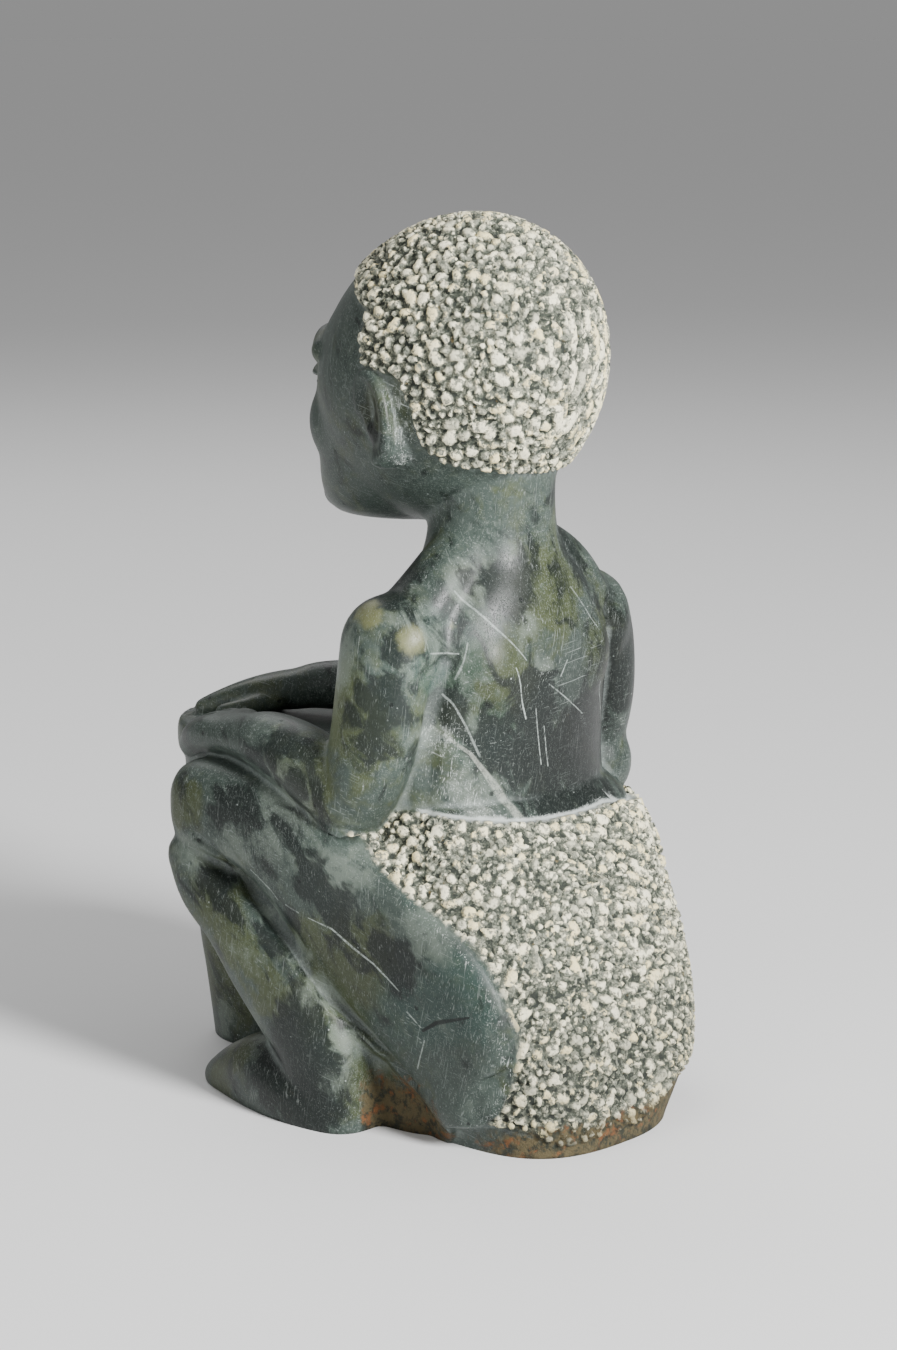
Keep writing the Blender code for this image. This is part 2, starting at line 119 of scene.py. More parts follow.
def loft(clay, sections):
    """Bridges the sections in order and closes both ends."""
    rings = [[clay.verts.new(p) for p in points] for points in sections]
    faces = []
    for low, high in zip(rings, rings[1:]):
        for i in range(SIDES):
            j = (i + 1) % SIDES
            faces.append(clay.faces.new((low[i], low[j], high[j], high[i])))
    faces.append(clay.faces.new(rings[0][::-1]))
    faces.append(clay.faces.new(rings[-1]))
    bmesh.ops.recalc_face_normals(clay, faces=faces)


def stack(clay, stations, power=2.0, left_power=None):
    """Level sections, bottom to top. A station is (z, half width, y in front, y behind, x of the middle)."""
    across, forward = Vector((1, 0, 0)), Vector((0, 1, 0))
    sections = []
    for z, half_width, front, back, middle in smooth_path([(*s, 0.0)[:5] for s in stations]):
        centre = Vector((middle, (front + back) / 2, z))
        half_depth = (back - front) / 2
        sections.append(section(centre, across, forward, half_width, half_depth, power, left_power))
    loft(clay, sections)


def limb(clay, stations, side=1, power=2.0):
    """Sections square to a path, with round ends. A station is (x, y, z, half across, half up)."""
    rows = smooth_path(stations)
    rows[:, 0] *= side
    last = len(rows) - 1
    sections = []
    for i, row in enumerate(rows):
        along = (Vector(rows[min(i + 1, last)][:3]) - Vector(rows[max(i - 1, 0)][:3])).normalized()
        across = (Vector((1, 0, 0)) - along * along.x).normalized()
        up = along.cross(across)
        rings = [(0.0, 1.0)]
        if i in (0, last):
            ends = [(math.sin(k * math.pi / 7), math.cos(k * math.pi / 7)) for k in (1, 2, 3)]
            rings = [(-reach, share) for reach, share in reversed(ends)] + rings if i == 0 else rings + ends
        for reach, share in rings:
            centre = Vector(row[:3]) + along * reach * min(row[3], row[4])
            sections.append(section(centre, across, up, row[3] * share, row[4] * share, power))
    loft(clay, sections)


def ball(clay, centre, radii, side=1, tilt=0.0):
    """An ellipsoid, tipped about the x axis."""
    place = Matrix.Translation((centre[0] * side, centre[1], centre[2]))
    place = place @ Euler((tilt, 0, 0)).to_matrix().to_4x4() @ Matrix.Diagonal((*radii, 1.0))
    bmesh.ops.create_uvsphere(clay, u_segments=SIDES, v_segments=SIDES // 2, radius=1.0, matrix=place)


# The figure, region by region


def torso(clay):
    stations = [
        (58, 39, -22, 26),
        (66, 38, -21.5, 24),
        (75, 36.5, -20.5, 22.2),
        (85, 35.5, -20, 21.5),
        (95, 35.5, -20.5, 22),
        (105, 36, -21.5, 23),
        (115, 35.5, -21, 23.5),
        (123, 32, -19, 22.5),
        (130, 26, -16, 20.5),
        (136, 20, -14.5, 18.2),
        (142, 16.8, -14, 17),
        (150, 15.5, -14, 16.8),
        (158, 16, -16, 17),
        (170, 18, -20, 16),
    ]
    stack(clay, stations)
    for side in BOTH:
        ball(clay, (14, 11, 111), (14, 12, 15), side)
        ball(clay, (14.5, -12.4, 114), (15, 8.4, 11), side)
    limb(clay, [(11, 2, 138, 8, 9), (22, 2.5, 129, 9, 9.4), (32, 1, 120, 8.6, 10.4)])
    limb(clay, [(11, 2, 138, 8, 9), (22, 3, 130, 9, 10), (32, 2, 119, 9, 11)], side=-1)
    ball(clay, (34, -0.2, 117.6), (11.8, 13.6, 12.8))
    ball(clay, (33.8, 1, 114.5), (12, 14, 13.4), side=-1)


def upper_arm(clay, side):
    slimmer = 0.5 if side > 0 else 0.0
    stations = [
        (36, 0, 118, 11, 13),
        (38.5, 0.4, 109, 10.5, 12.6),
        (40.3, -0.4, 97, 10, 12.2),
        (41.8, -2.8, 86, 9.5, 10.8),
        (42.3, -5, 80, 8.8, 9.5),
    ]
    limb(clay, [(x, y, z, across - slimmer, up - slimmer) for x, y, z, across, up in stations], side)
    if side < 0:
        ball(clay, (42.4, -1.2, 77.4), (9.6, 10.8, 11.2), side)


def skull(clay):
    ball(clay, (0, -9.3, 180.6), (32.2, 34.6, 40.3), tilt=-0.79)
    stations = [
        (143.4, 12, -46.2, -14),
        (146.5, 17, -48.6, -10),
        (152, 21, -49, -4),
        (159, 24, -48, 0),
        (167, 26.5, -47, 2),
        (175, 27.8, -46.2, 4),
        (183, 28, -45.2, 4),
        (191, 26.5, -43.2, 2),
        (198, 22, -39.5, 0),
    ]
    stack(clay, stations)
    for side in BOTH:
        ball(clay, (13, -33.5, 167.5), (10.5, 10.8, 12.5), side)


def face(clay):
    limb(clay, [(0, -43.2, 187, 3.6, 3.0), (0, -47.6, 176.5, 4.2, 3.6), (0, -51.8, 168, 4.6, 4.0)])
    ball(clay, (0, -52.2, 166.6), (4.8, 4.4, 3.9))
    ball(clay, (0, -46.2, 148), (8.5, 5.4, 5.4))
    for side in BOTH:
        ball(clay, (5.2, -49.2, 165.8), (3.6, 4.0, 3.1), side)
        brow = [(4, -42.6, 187, 3.0, 3.2), (12, -41.6, 187.6, 3.4, 3.6), (20, -36.2, 185, 3.2, 3.4)]
        upper_lip = [(0, -50.2, 158.4, 1.9, 1.8), (3.6, -50.4, 158.9, 2, 1.9), (8.6, -47.2, 157.2, 1.1, 1.1)]
        lower_lip = [(0, -49.8, 154.2, 2.2, 2.3), (3.6, -49.3, 154.4, 2, 2), (8, -46.8, 155.8, 1.1, 1.1)]
        for row in (brow, upper_lip, lower_lip):
            limb(clay, row, side)
        ball(clay, (11.8, -39.4, 179), (6.3, 6.6, 4.6), side)


def ear(clay, side):
    rim = []
    for k in range(9):
        angle = math.radians(172 - 32.5 * k)
        thick = min(1.0 + 0.35 * k, 1.7)
        y, z = 5.2 * math.cos(angle), 10.2 * math.sin(angle)
        rim.append((32.6 + 0.16 * y - 0.03 * z, -8.2 + y - 0.16 * z, 171.8 + z, thick, thick))
    limb(clay, rim, side)
    limb(clay, [(28.2, -9.6, 179, 4.8, 5.4), (28.2, -7.4, 171, 5.0, 5.8), (28.0, -5.2, 163, 4.4, 4.0)], side)
    ball(clay, (30.6, -6.4, 162.4), (2.8, 3.0, 3.2), side)


def thigh(clay, side):
    stations = [
        (42.2, -53.5, 72, 11.6, 12.4),
        (42.2, -45, 72, 11.4, 12.6),
        (41.8, -29.5, 68.6, 11, 14),
        (40.8, -14.7, 60.4, 11.2, 17.2),
        (39.2, -0.7, 49.5, 11.4, 20.4),
        (37.4, 12.5, 39.4, 11.7, 21),
        (35, 22.9, 26.4, 11.6, 21),
        (34.2, 29.6, 16, 10.8, 14.6),
        (33.8, 31.8, 14.4, 9.8, 9.8),
    ]
    if side < 0:
        stations[5:] = [
            (36.4, 9.5, 39.4, 10.9, 18.4),
            (34.6, 18.5, 31.5, 10, 14.5),
            (33.6, 23.5, 25.5, 8.6, 9.6),
        ]
    limb(clay, stations, side, power=2.9)
    behind_knee = [
        (41, -44, 56.5, 6.5, 5),
        (42, -24, 43, 7.4, 6),
        (42, -9, 31.6, 7.4, 6),
        (40, 5, 22.4, 6.6, 5.6),
    ]
    limb(clay, behind_knee, side)


def shin(clay, side):
    stations = [
        (43.2, -56.5, 60, 10.2, 7.2),
        (44, -51.6, 52, 9.4, 8.4),
        (44.4, -41.5, 45.5, 9.4, 10.3),
        (44.8, -31, 37.4, 9.6, 13),
        (45, -20.8, 29.1, 9.9, 14.2),
        (45.2, -13.2, 19.8, 10, 12.8),
        (45.3, -9.2, 8.2, 10, 11),
        (45.3, -8.4, -1, 10, 10.6),
    ]
    limb(clay, stations, side, power=2.6)


def foot(clay, side):
    stations = [
        (45.4, -8, 2.4, 10.4, 11.4),
        (45.2, -19, 4.2, 11.2, 10.8),
        (43, -31, 5.2, 11.4, 12.4),
        (39.8, -42.5, 3.9, 11, 9.2),
        (37.4, -50.5, 2.2, 10, 6),
        (35.8, -54.8, 1.2, 8, 3.6),
    ]
    limb(clay, stations, side, power=2.3)


def forearm_left(clay):
    stations = [
        (42.3, -6, 80, 8.8, 9.4),
        (43, -20, 87, 8.8, 9.4),
        (42, -33, 90.2, 8.0, 8.0),
        (40.4, -43, 90.4, 7.4, 6.0),
        (38.5, -50, 90, 8.2, 5.2),
    ]
    limb(clay, stations)


def hand_left(clay):
    stations = [
        (38.5, -48, 89.6, 8.4, 5.0),
        (35.2, -56, 89.3, 10, 5.2),
        (32, -62.5, 87.4, 10.2, 5.2),
        (30.6, -66.6, 85, 9.4, 4.6),
    ]
    limb(clay, stations, power=2.7)
    limb(clay, [(30, -51, 90, 3.2, 3.2), (24.5, -56.5, 89.3, 2.8, 2.9), (21.5, -62.5, 88.4, 2.4, 2.5)])


def forearm_right(clay):
    stations = [
        (-42.3, -6, 80, 8.6, 9),
        (-33, -21, 88.5, 8.8, 8.8),
        (-19, -43, 93.6, 7.8, 7.6),
        (-6.5, -60, 94.4, 6.9, 6.4),
        (-1.5, -67.5, 93.2, 7.4, 5.4),
    ]
    limb(clay, stations)


def hand_right(clay):
    stations = [
        (-2, -66, 93.4, 7.4, 5.4),
        (3, -75, 91.8, 9.4, 4.8),
        (8, -83.5, 88.8, 9.6, 3.8),
        (10.8, -88.4, 87.0, 8.4, 2.8),
    ]
    limb(clay, stations, power=2.7)
    limb(clay, [(6, -66.5, 91.6, 2.8, 2.8), (13.4, -70.5, 90, 2.7, 2.7), (18.4, -75, 88.8, 2.3, 2.3)])


def hips(clay):
    stations = [
        (-SAW_DEPTH, 31, 0, 53.8, 8),
        (0, 31.5, -1, 54.1, 8),
        (6, 35, -4, 53.8, 5.2),
        (12, 39, -6, 53.1, 2.6),
        (18, 41, -8, 52.2, 1.6),
        (29, 42.6, -12, 50.3, 1.2),
        (40, 43.2, -16, 46.8, 1),
        (52, 43.2, -22, 40.8, 0.8),
        (62, 42.5, -22, 34.0, 0.2),
        (69, 41.2, -21.5, 28.6, -1),
        (74, 40.2, -21, 24.4, -2.2),
        (79, 36.0, -20.5, 21.8, -0.5),
    ]
    stack(clay, stations, left_power=3.0)


def core(clay):
    """The stone left standing under the lap, between the legs and behind the drum."""
    under_lap = [
        (-SAW_DEPTH, 35, -47, 24),
        (10, 35, -48, 26),
        (40, 34, -50, 26),
        (60, 33, -52, 22),
        (74, 31, -52, 16),
    ]
    behind_drum = [(-SAW_DEPTH, 15, -64, -40), (40, 17, -64, -40), (74, 19, -64, -40)]
    stack(clay, under_lap, power=3.6)
    stack(clay, behind_drum, power=3.6)
    for side in BOTH:
        behind_heel = [(-SAW_DEPTH, 5, -12, 17, 36), (10, 5, -12, 16, 36.5), (24, 4, -14, 10, 37)]
        stack(clay, [(*station[:4], side * station[4]) for station in behind_heel], power=2.6)


def drum(clay):
    middle = -72
    shell = [(-SAW_DEPTH, 18.2), (2, 18.8), (17, 20.6), (30, 22.4), (56, 24.6), (84.5, 25.8)]
    head_rim = [(76.5, 26.0), (78.3, 27.2), (84.4, 27.2), (86, 26.2)]
    for profile in (shell, head_rim):
        stack(clay, [(z, radius, middle - radius, middle + radius) for z, radius in profile])


# Fusing and carving


def mesh_object(name, clay):
    mesh = bpy.data.meshes.new(name)
    clay.to_mesh(mesh)
    clay.free()
    made = bpy.data.objects.new(name, mesh)
    bpy.context.scene.collection.objects.link(made)
    return made


def applied(obj):
    """Replaces an object's mesh by the one that its modifiers give."""
    depsgraph = bpy.context.evaluated_depsgraph_get()
    mesh = bpy.data.meshes.new_from_object(obj.evaluated_get(depsgraph))
    obj.modifiers.clear()
    old, obj.data = obj.data, mesh
    bpy.data.meshes.remove(old)
    return obj


def fuse(obj, voxel, softness):
    """Joins overlapping stock into one skin, and rounds it over about that many parts."""
    remesh = obj.modifiers.new("fuse", "REMESH")
    remesh.mode = "VOXEL"
    remesh.voxel_size = voxel
    soften = obj.modifiers.new("soften", "SMOOTH")
    soften.factor = 0.5
    soften.iterations = max(1, round(4 * (softness / voxel) ** 2))
    return applied(obj)


def region(name, builders, voxel, softness):
    clay = bmesh.new()
    for builder, *details in builders:
        builder(clay, *details)
    return fuse(mesh_object(name, clay), voxel, softness)


def join(name, objects):
    clay = bmesh.new()
    for obj in objects:
        clay.from_mesh(obj.data)
        bpy.data.objects.remove(obj)
    return mesh_object(name, clay)


def coordinates(mesh):
    flat = np.empty(len(mesh.vertices) * 3, np.float32)
    mesh.vertices.foreach_get("co", flat)
    return flat.reshape(-1, 3).astype(float)


def normals(mesh):
    flat = np.empty(len(mesh.vertices) * 3, np.float32)
    mesh.vertex_normals.foreach_get("vector", flat)
    return flat.reshape(-1, 3).astype(float)


def push(mesh, offsets, chosen=slice(None)):
    """Moves vertices out along their normals, by an offset for each."""
    points = coordinates(mesh)
    points[chosen] += normals(mesh)[chosen] * np.asarray(offsets)[:, None]
    mesh.vertices.foreach_set("co", points.astype(np.float32).ravel())
    mesh.update()


def eased(share):
    share = np.clip(share, 0, 1)
    return share * share * (3 - 2 * share)


def distance_to_path(points, path):
    """Distance from each point to a run of straight pieces."""
    best = np.full(len(points), np.inf)
    for a, b in zip(path, path[1:]):
        run = b - a
        share = np.clip((points - a) @ run / (run @ run), 0, 1)
        best = np.minimum(best, np.linalg.norm(points - (a + share[:, None] * run), axis=1))
    return best


def groove(mesh, path, width, depth, side=1, through=None, reach=7.0):
    """Presses a V into the skin along a path. With `through`, the path is seen along that axis, so it only
    has to pass within `reach` of the skin."""
    path = smooth_path(path)
    path[:, 0] *= side
    margin = np.full(3, width)
    if through is not None:
        margin[through] = reach
    points = coordinates(mesh)
    near = np.flatnonzero(((points > path.min(0) - margin) & (points < path.max(0) + margin)).all(1))
    seen = np.ones(3)
    if through is not None:
        seen[through] = 0
    away = distance_to_path(points[near] * seen, path * seen)
    push(mesh, -depth * eased(1 - away / width), near)


def hollow(mesh, centre, radii, depth, side=1):
    """Presses a round hollow into the skin."""
    centre = np.array(centre, float) * (side, 1, 1)
    away = np.linalg.norm((coordinates(mesh) - centre) / radii, axis=1)
    push(mesh, -depth * eased(1 - away))


def fingers(mesh, knuckles, tips, spread, width, depth):
    """Three grooves that part four fingers, seen from above."""
    knuckles, tips, spread = (np.array(v, float) for v in (knuckles, tips, spread))
    for k in (-1, 0, 1):
        start = knuckles + spread * k * 0.42
        end = tips + spread * k * 0.5
        groove(mesh, [start, (start + end) / 2, end], width, depth, through=2, reach=6)


def side_outline_distance(points, outline):
    """Signed distance, inside positive, to a closed outline in the side view, y and z."""
    flat = points[:, 1:]
    y, z = flat.T
    corners = np.array([*outline, outline[0]], float)
    inside = np.zeros(len(flat), bool)
    for a, b in zip(corners, corners[1:]):
        run = b - a
        rise = run[1] if run[1] else 1.0
        inside ^= ((a[1] > z) != (b[1] > z)) & (y < a[0] + (z - a[1]) * run[0] / rise)
    away = distance_to_path(flat, corners)
    return np.where(inside, away, -away)


# The pecked hair's edge, from the brow over the ear to the nape, as (y, z) in the side view
HAIRLINE = [(-60, 206), (-29, 206), (-20, 200), (-12.8, 196.3), (-13.7, 191), (-11.5, 184), (-1, 182)]
HAIRLINE += [(2, 175), (3, 165), (6, 161.5), (18, 158), (60, 157), (60, 260), (-60, 260)]

# The polished thigh's edge over the cloth, as (y, z) in the side view, and the rest of the leg's outline
THIGH_EDGE = [(-2, 73.2), (5.7, 67), (14.8, 61.1), (22.9, 56.4), (30, 51.1), (34.9, 45.7), (39.4, 39.2)]
THIGH_EDGE += [(42.1, 31.5), (42.4, 24), (41.5, 16.8), (39.3, 11.4), (35.1, 7.9), (26.8, 6.1)]
LEG = THIGH_EDGE + [(18, -10), (-70, -10), (-70, 95), (-30, 92), (-6, 76)]
RIGHT_THIGH_SHORTER = 14.0
LIP = 14.0  # how far in from its edge the thigh stands up

# The crease under the left arm
UNDER_ARM = [(30.5, 15, 114), (32, 12.6, 104), (33, 11, 94), (34, 10.4, 84), (36, 10.6, 76)]


def tree_of(places):
    tree = KDTree(len(places))
    for i, place in enumerate(places):
        tree.insert(place, i)
    tree.balance()
    return tree


def nearest(points, others):
    """For each point, which of the others is nearest and how far away it is."""
    tree = tree_of(others)
    found = [tree.find(point) for point in points]
    return np.array([index for _, index, _ in found]), np.array([away for _, _, away in found])


def waist_height(x):
    """The wrap's top edge: a little higher toward the left arm, and lower at the right hip."""
    return 73.3 + 0.003 * np.clip(x + 5, 0, None) ** 2 - 3.2 * eased((-x - 16) / 20)


def masked(inside):
    """A mask that fades in over an edge, from how far inside the edge each point is."""
    return np.clip(inside / EDGE + 0.5, 0, 1)


def leg_view(points):
    """The points seen from the side, the right leg's moved back by as much as its thigh is shorter."""
    seen = points * (0, 1, 1)
    seen[:, 1] += np.where(points[:, 0] > 0, 0, RIGHT_THIGH_SHORTER)
    return seen


def from_thigh_edge(points):
    """How far each point is from the thigh's edge, in the side view."""
    return distance_to_path(leg_view(points), np.array([(0, *corner) for corner in THIGH_EDGE]))


def pecked_parts(points, lower_stock):
    """How far each point is inside the hair, inside the cloth and on the thigh's lip, 0 to 1 over the edge.
    Cloth and lip lie on the lower stock alone, not on the forearms that touch it."""
    x, y, z = points.T
    _, away = nearest(points, lower_stock)
    on_lower = eased((2.6 - away) / 1.2)
    hair = masked(side_outline_distance(points, HAIRLINE))
    waist = waist_height(x)
    hem = np.interp(x, [-30, -10, 5, 30, 42], [12.5, 10, 4, 3, 9])
    on_leg = side_outline_distance(leg_view(points), LEG)
    inside = np.minimum(np.minimum(waist - z, z - hem), np.minimum(-on_leg, y + 18))
    cloth = masked(inside) * on_lower
    lip = masked(on_leg) * eased(1 - from_thigh_edge(points) / LIP) * on_lower * (np.abs(x) > 24)
    return hair, cloth, lip


def lift_over_skin(points, hair, cloth, lip):
    at_right_hip = eased((-points[:, 0] - 8) / 20) * eased((points[:, 2] - 50) / 22)
    cloth_lift = CLOTH_RELIEF + RIGHT_HEM_RELIEF * at_right_hip
    return (HAIR_RELIEF * hair + cloth_lift * cloth + THIGH_RELIEF * lip) / PART


def carve(mesh):
    """Creases that the chisel cut after the form was roughed out."""
    fingers(mesh, (34.6, -57, 92), (30, -70, 86), (10.6, -2.4, 0), 1.7, 1.2)
    fingers(mesh, (4.6, -77.5, 94), (13, -93, 88), (9.6, 5.4, 0), 1.7, 1.0)
    mouth = [(-9, -47, 156.7), (-4, -51.5, 156.4), (0, -52, 156.6), (4, -51.5, 156.4), (9, -47, 156.7)]
    groove(mesh, mouth, 1.5, 1.1, through=1, reach=4)
    for side in BOTH:
        groove(mesh, UNDER_ARM, 4, 1.5, side)
        for mid_z in (182.4, 176.2):
            groove(mesh, [(5.4, -44, 178.6), (11.8, -46, mid_z), (18.4, -40, 178.8)], 1.2, 0.6, side, 1, 4)
        groove(mesh, [(6.2, -45, 177.6), (11.8, -46.5, 176.9), (17.4, -42, 178)], 1.0, 0.6, side, 1, 4)
        hollow(mesh, (34.2, -9.4, 173), (4, 3.4, 7.6), 2.6, side)
        fold = [(-49.5, 66), (-43, 61.4), (-35, 54.4), (-20.4, 44.6), (-6.5, 32.6), (5.5, 22.4), (15.5, 14)]
        groove(mesh, [(48, y, z) for y, z in fold], 2.0, 2.0, side, 0, 11)
        for toe in range(4):
            x = 30.4 + 3.2 * toe
            groove(mesh, [(x, -52, 5), (x - 0.8, -62, 3)], 1.2, 0.7, side, 2, 9)


def saw_flat(mesh):
    """Cuts the block off at z = 0 and closes it with a flat face."""
    clay = bmesh.new()
    clay.from_mesh(mesh)
    everything = clay.verts[:] + clay.edges[:] + clay.faces[:]
    cut = bmesh.ops.bisect_plane(
        clay, geom=everything, dist=1e-4, plane_co=(0, 0, 0), plane_no=(0, 0, -1), clear_outer=True
    )
    rim = [e for e in cut["geom_cut"] if isinstance(e, bmesh.types.BMEdge)]
    bmesh.ops.triangle_fill(clay, use_beauty=True, use_dissolve=False, edges=rim)
    bmesh.ops.recalc_face_normals(clay, faces=clay.faces[:])
    clay.to_mesh(mesh)
    clay.free()


# Peck marks: the white spots that a point chisel bruised into the hair and the cloth


def wandering(points, pitch, reach):
    """A smooth random offset for each point, up to about `reach`."""
    noise.seed_set(SEED)
    return np.array([noise.noise_vector(Vector(p) / pitch) for p in points]) * reach


def mark_lie(place, normal, draw):
    """Which way a mark runs and how long it is: strokes behind the head and on the cloth, else any way."""
    x, y, z = place
    level = Vector((0, 0, 1)).cross(normal)
    level = level.normalized() if level.length > 0.05 else Vector((1, 0, 0))
    upward = normal.cross(level)
    if y > 14 and -20 < x < 7 and 163 < z < 199:
        angle, stretch = math.radians(draw.normal(84, 12)), draw.uniform(1.8, 4.2)
    elif z < 75 and x < 14 and y > 10:
        angle, stretch = math.radians(draw.normal(-24, 14)), draw.uniform(1.1, 2.2)
    else:
        angle, stretch = draw.uniform(0, math.pi), draw.uniform(1.0, 1.7)
    return level * math.cos(angle) + upward * math.sin(angle), stretch


def mark_gap(apart, mark):
    """How far off a mark's middle a place is, in widths of the mark, which is a rounded box."""
    _, along, stretch, size, _ = mark
    run = apart.dot(along)
    aside = math.sqrt(max(apart.length_squared - run * run, 0))
    rounded = abs(run / stretch) ** MARK_SQUARENESS + aside**MARK_SQUARENESS
    return rounded ** (1 / MARK_SQUARENESS) / size


def crowded(mark, other):
    size, other_size = mark[3], other[3]
    return mark_gap(mark[0] - other[0], mark) * size < MARK_SPACING * 0.5 * (size + other_size)


def peck_marks(points, facing, chance):
    """Scatters marks over the skin where `chance` is high, no two of them crowded together."""
    draw = np.random.default_rng(SEED)
    order = np.flatnonzero(chance > 0.45)
    draw.shuffle(order)
    cell = 2.2 * MARK_SPACING
    grid = {}
    marks = []
    for index in order[:MARK_TRIES]:
        place = Vector(points[index])
        along, stretch = mark_lie(place, Vector(facing[index]), draw)
        size = 0.58 + 0.85 * draw.random() ** 1.3
        mark = (place, along, stretch, size, draw.uniform(0, 1))
        key = tuple(int(c // cell) for c in place)
        near = itertools.product(*[(k - 1, k, k + 1) for k in key])
        others = (other for corner in near for other in grid.get(corner, ()))
        if any(crowded(mark, other) for other in others):
            continue
        grid.setdefault(key, []).append(mark)
        marks.append(mark)
    return marks


def peck_height(points, marks):
    """How high each point stands on the marks, 0 beside them to about 1 on top, and its mark's own tone."""
    tree = tree_of([mark[0] for mark in marks])
    bent = points + wandering(points, 2.4, 0.5) + wandering(points, 0.9, 0.4)
    height = np.zeros(len(points))
    tone = np.zeros(len(points))
    for i, point in enumerate(bent):
        point = Vector(point)
        for place, index, _ in tree.find_n(point, MARKS_WITHIN_REACH):
            mark = marks[index]
            rise = 1 - (mark_gap(point - place, mark) / MARK_RADIUS) ** 2
            if rise > height[i]:
                height[i] = rise
                tone[i] = mark[4]
    return height, tone


def peck_relief(height):
    """How far the marks lift the skin: round shoulders, nearly flat tops."""
    return eased(1.5 * height) * MARK_RELIEF


# The stone's own patches, as (x, y, z, reach) on the figure, except the dark patch at (31.5, -9, 168), which
# is painted shade in the ear's hollow, and the pale patch at (53, -2, 13), which is a painted highlight on
# the heel
PATCHES = {
    "dark": [
        (53, -38, 75, 6), (52, -12, 62, 5), (51, -3, 56, 5), (50, 11, 47, 5), (49, 16, 44, 6),
        (50, -19, 50, 3), (52, -46, 55, 5), (52, -24, 44, 5), (55, -16, 24, 6), (55, -8, 15, 6),
        (56, -8, 4, 7), (54, -21, 11, 6), (50, -16, 87, 6), (50, -25, 90, 6), (33, -1, 131, 6),
        (12, 17, 131, 6), (8, 22, 103, 7), (18, 19, 92, 6), (2, 21, 85, 10), (29, 13, 103, 5),
        # painted shade: the dark patch at (31.5, -9, 168) darkens the ear's hollow
        (-36, 12, 103, 12), (-12, 21, 88, 14), (43, 9, 119, 4), (48, 7, 107, 8), (31.5, -9, 168, 2.5),
        (20, -72, 45, 8),
    ],
    "olive": [
        (54, -38, 47, 6), (54, -34, 40, 6), (55, -23, 31, 5), (50, -45, 3, 5), (49, -39, 13, 6),
        (49, -5, 35, 9), (50, -12, 46, 6), (52, 2, 43, 10), (53, -55, 74, 6), (20, -75, 22, 12),
        (44, 1, 11, 8), (24, 18, 105, 12), (50, -1, 102, 9), (38, -14, 128, 8), (47, -14, 84, 8),
        (0, 21, 130, 10), (-20, 17, 112, 10), (32, -8, 173, 5),
    ],
    "teal": [
        (47, 28, 39, 12), (50, 16, 33, 10), (43, 20, 60, 9), (30, 12, 116, 9), (0, -50, 152, 12),
        (20, 14, 96, 8),
    ],
    "pale": [
        (46, 23, 55, 9), (52, -7, 67, 4), (51, 1, 64, 6), (52, -25, 67, 5), (50, -2, 22, 5),
        # painted highlight: the pale patch at (53, -2, 13) on the heel
        (53, -2, 13, 4), (53, -11, 33, 6), (48, -27, 51, 4), (49, -17, 42, 4), (53, -35, 66, 5),
        (52, -52, 62, 5), (20, -76, 6, 5), (39, 10, 124, 6), (6, 23, 112, 3), (22, 11, 134, 5),
        (34, 9, 99, 5), (25, 16, 98, 4), (-25, 16, 96, 6), (31, 13, 120, 6), (24, 16, 80, 8),
        (46, -8, 118, 8), (52, -20, 78, 8), (48, -30, 20, 6), (14.4, 17.5, 129.3, 3),
        (9.7, 21.3, 122.6, 2.5), (5.5, 22.9, 111.7, 2.5),
    ],
    "yellow": [
        (27.3, 12.3, 123.8, 1.2), (39.4, 10.9, 121.2, 3.5), (41.2, -2.6, 127, 3.5), (42.7, 1.1, 125.8, 3),
    ],
}

# Broad lighter and darker regions of the stone, as (x, y, z, reach, gain); the last is painted shade in the
# ear's hollow
SHADE = [
    (-6, 22, 92, 17, -0.45), (-28, 12, 98, 20, -0.45), (48, -18, 92, 14, 0.5), (50, 14, 34, 15, -0.15),
    (50, -34, 10, 16, -0.25), (46, 4, 108, 15, 0.7), (28, 14, 90, 12, 0.05), (47, 32, 38, 12, -0.2),
    (12, 12, 150, 14, 0.3), (51, -6, 63, 10, 0.8), (54, -30, 42, 12, 0.5), (54, -8, 24, 8, 0.5),
    # painted shade in the ear's hollow
    (34, -10, 173, 5, -0.6),
]

# Where powder still lies, round the ear and on the back, as (x, y, z, reach, strength)
POWDERED = [
    (30.5, -1, 177, 3.5, 0.5), (30.5, 0, 169, 4, 0.5), (30, 0, 162, 3.5, 0.45), (26.5, 4, 156, 4, 0.4),
    (27, 15, 84, 7, 0.40), (30, 12, 96, 5, 0.5), (24, 18, 78, 6, 0.45), (14, 17.5, 129, 2, 0.3),
    (9.7, 21.3, 122.6, 2, 0.3), (5.5, 22.9, 112, 2.5, 0.35),
]


def patch(points, places):
    """1 at the middle of a patch, fading to 0 at twice its reach."""
    share = np.zeros(len(points))
    for x, y, z, reach in places:
        away = np.linalg.norm(points - (x, y, z), axis=1) / (2 * reach)
        share = np.maximum(share, eased(1 - away))
    return share


def shading(points):
    return sum(gain * patch(points, [place]) for *place, gain in SHADE)


def powder(points):
    """Where powder and dust lie pale: in spots, down the creases under the arms, and along the cloth."""
    share = np.zeros(len(points))
    for *place, strength in POWDERED:
        share = np.maximum(share, strength * patch(points, [place]))
    for side in BOTH:
        away = distance_to_path(points, smooth_path(UNDER_ARM) * (side, 1, 1))
        share = np.maximum(share, 0.8 * eased(1 - away / 1.6))
    return np.maximum(share, seam(points))


def seam(points):
    """The dusty lines where polished skin meets the cloth: round the waist, and along the thigh's edge."""
    x, y, z = points.T
    at_waist = eased(1 - np.abs(z - waist_height(x) - 0.4) / 1.4) * eased((y - 4) / 4) * eased((36 - x) / 3)
    at_thigh = eased(1 - from_thigh_edge(points) / 1.1) * (np.abs(x) > 24)
    return np.maximum(at_waist, 0.3 * at_thigh)


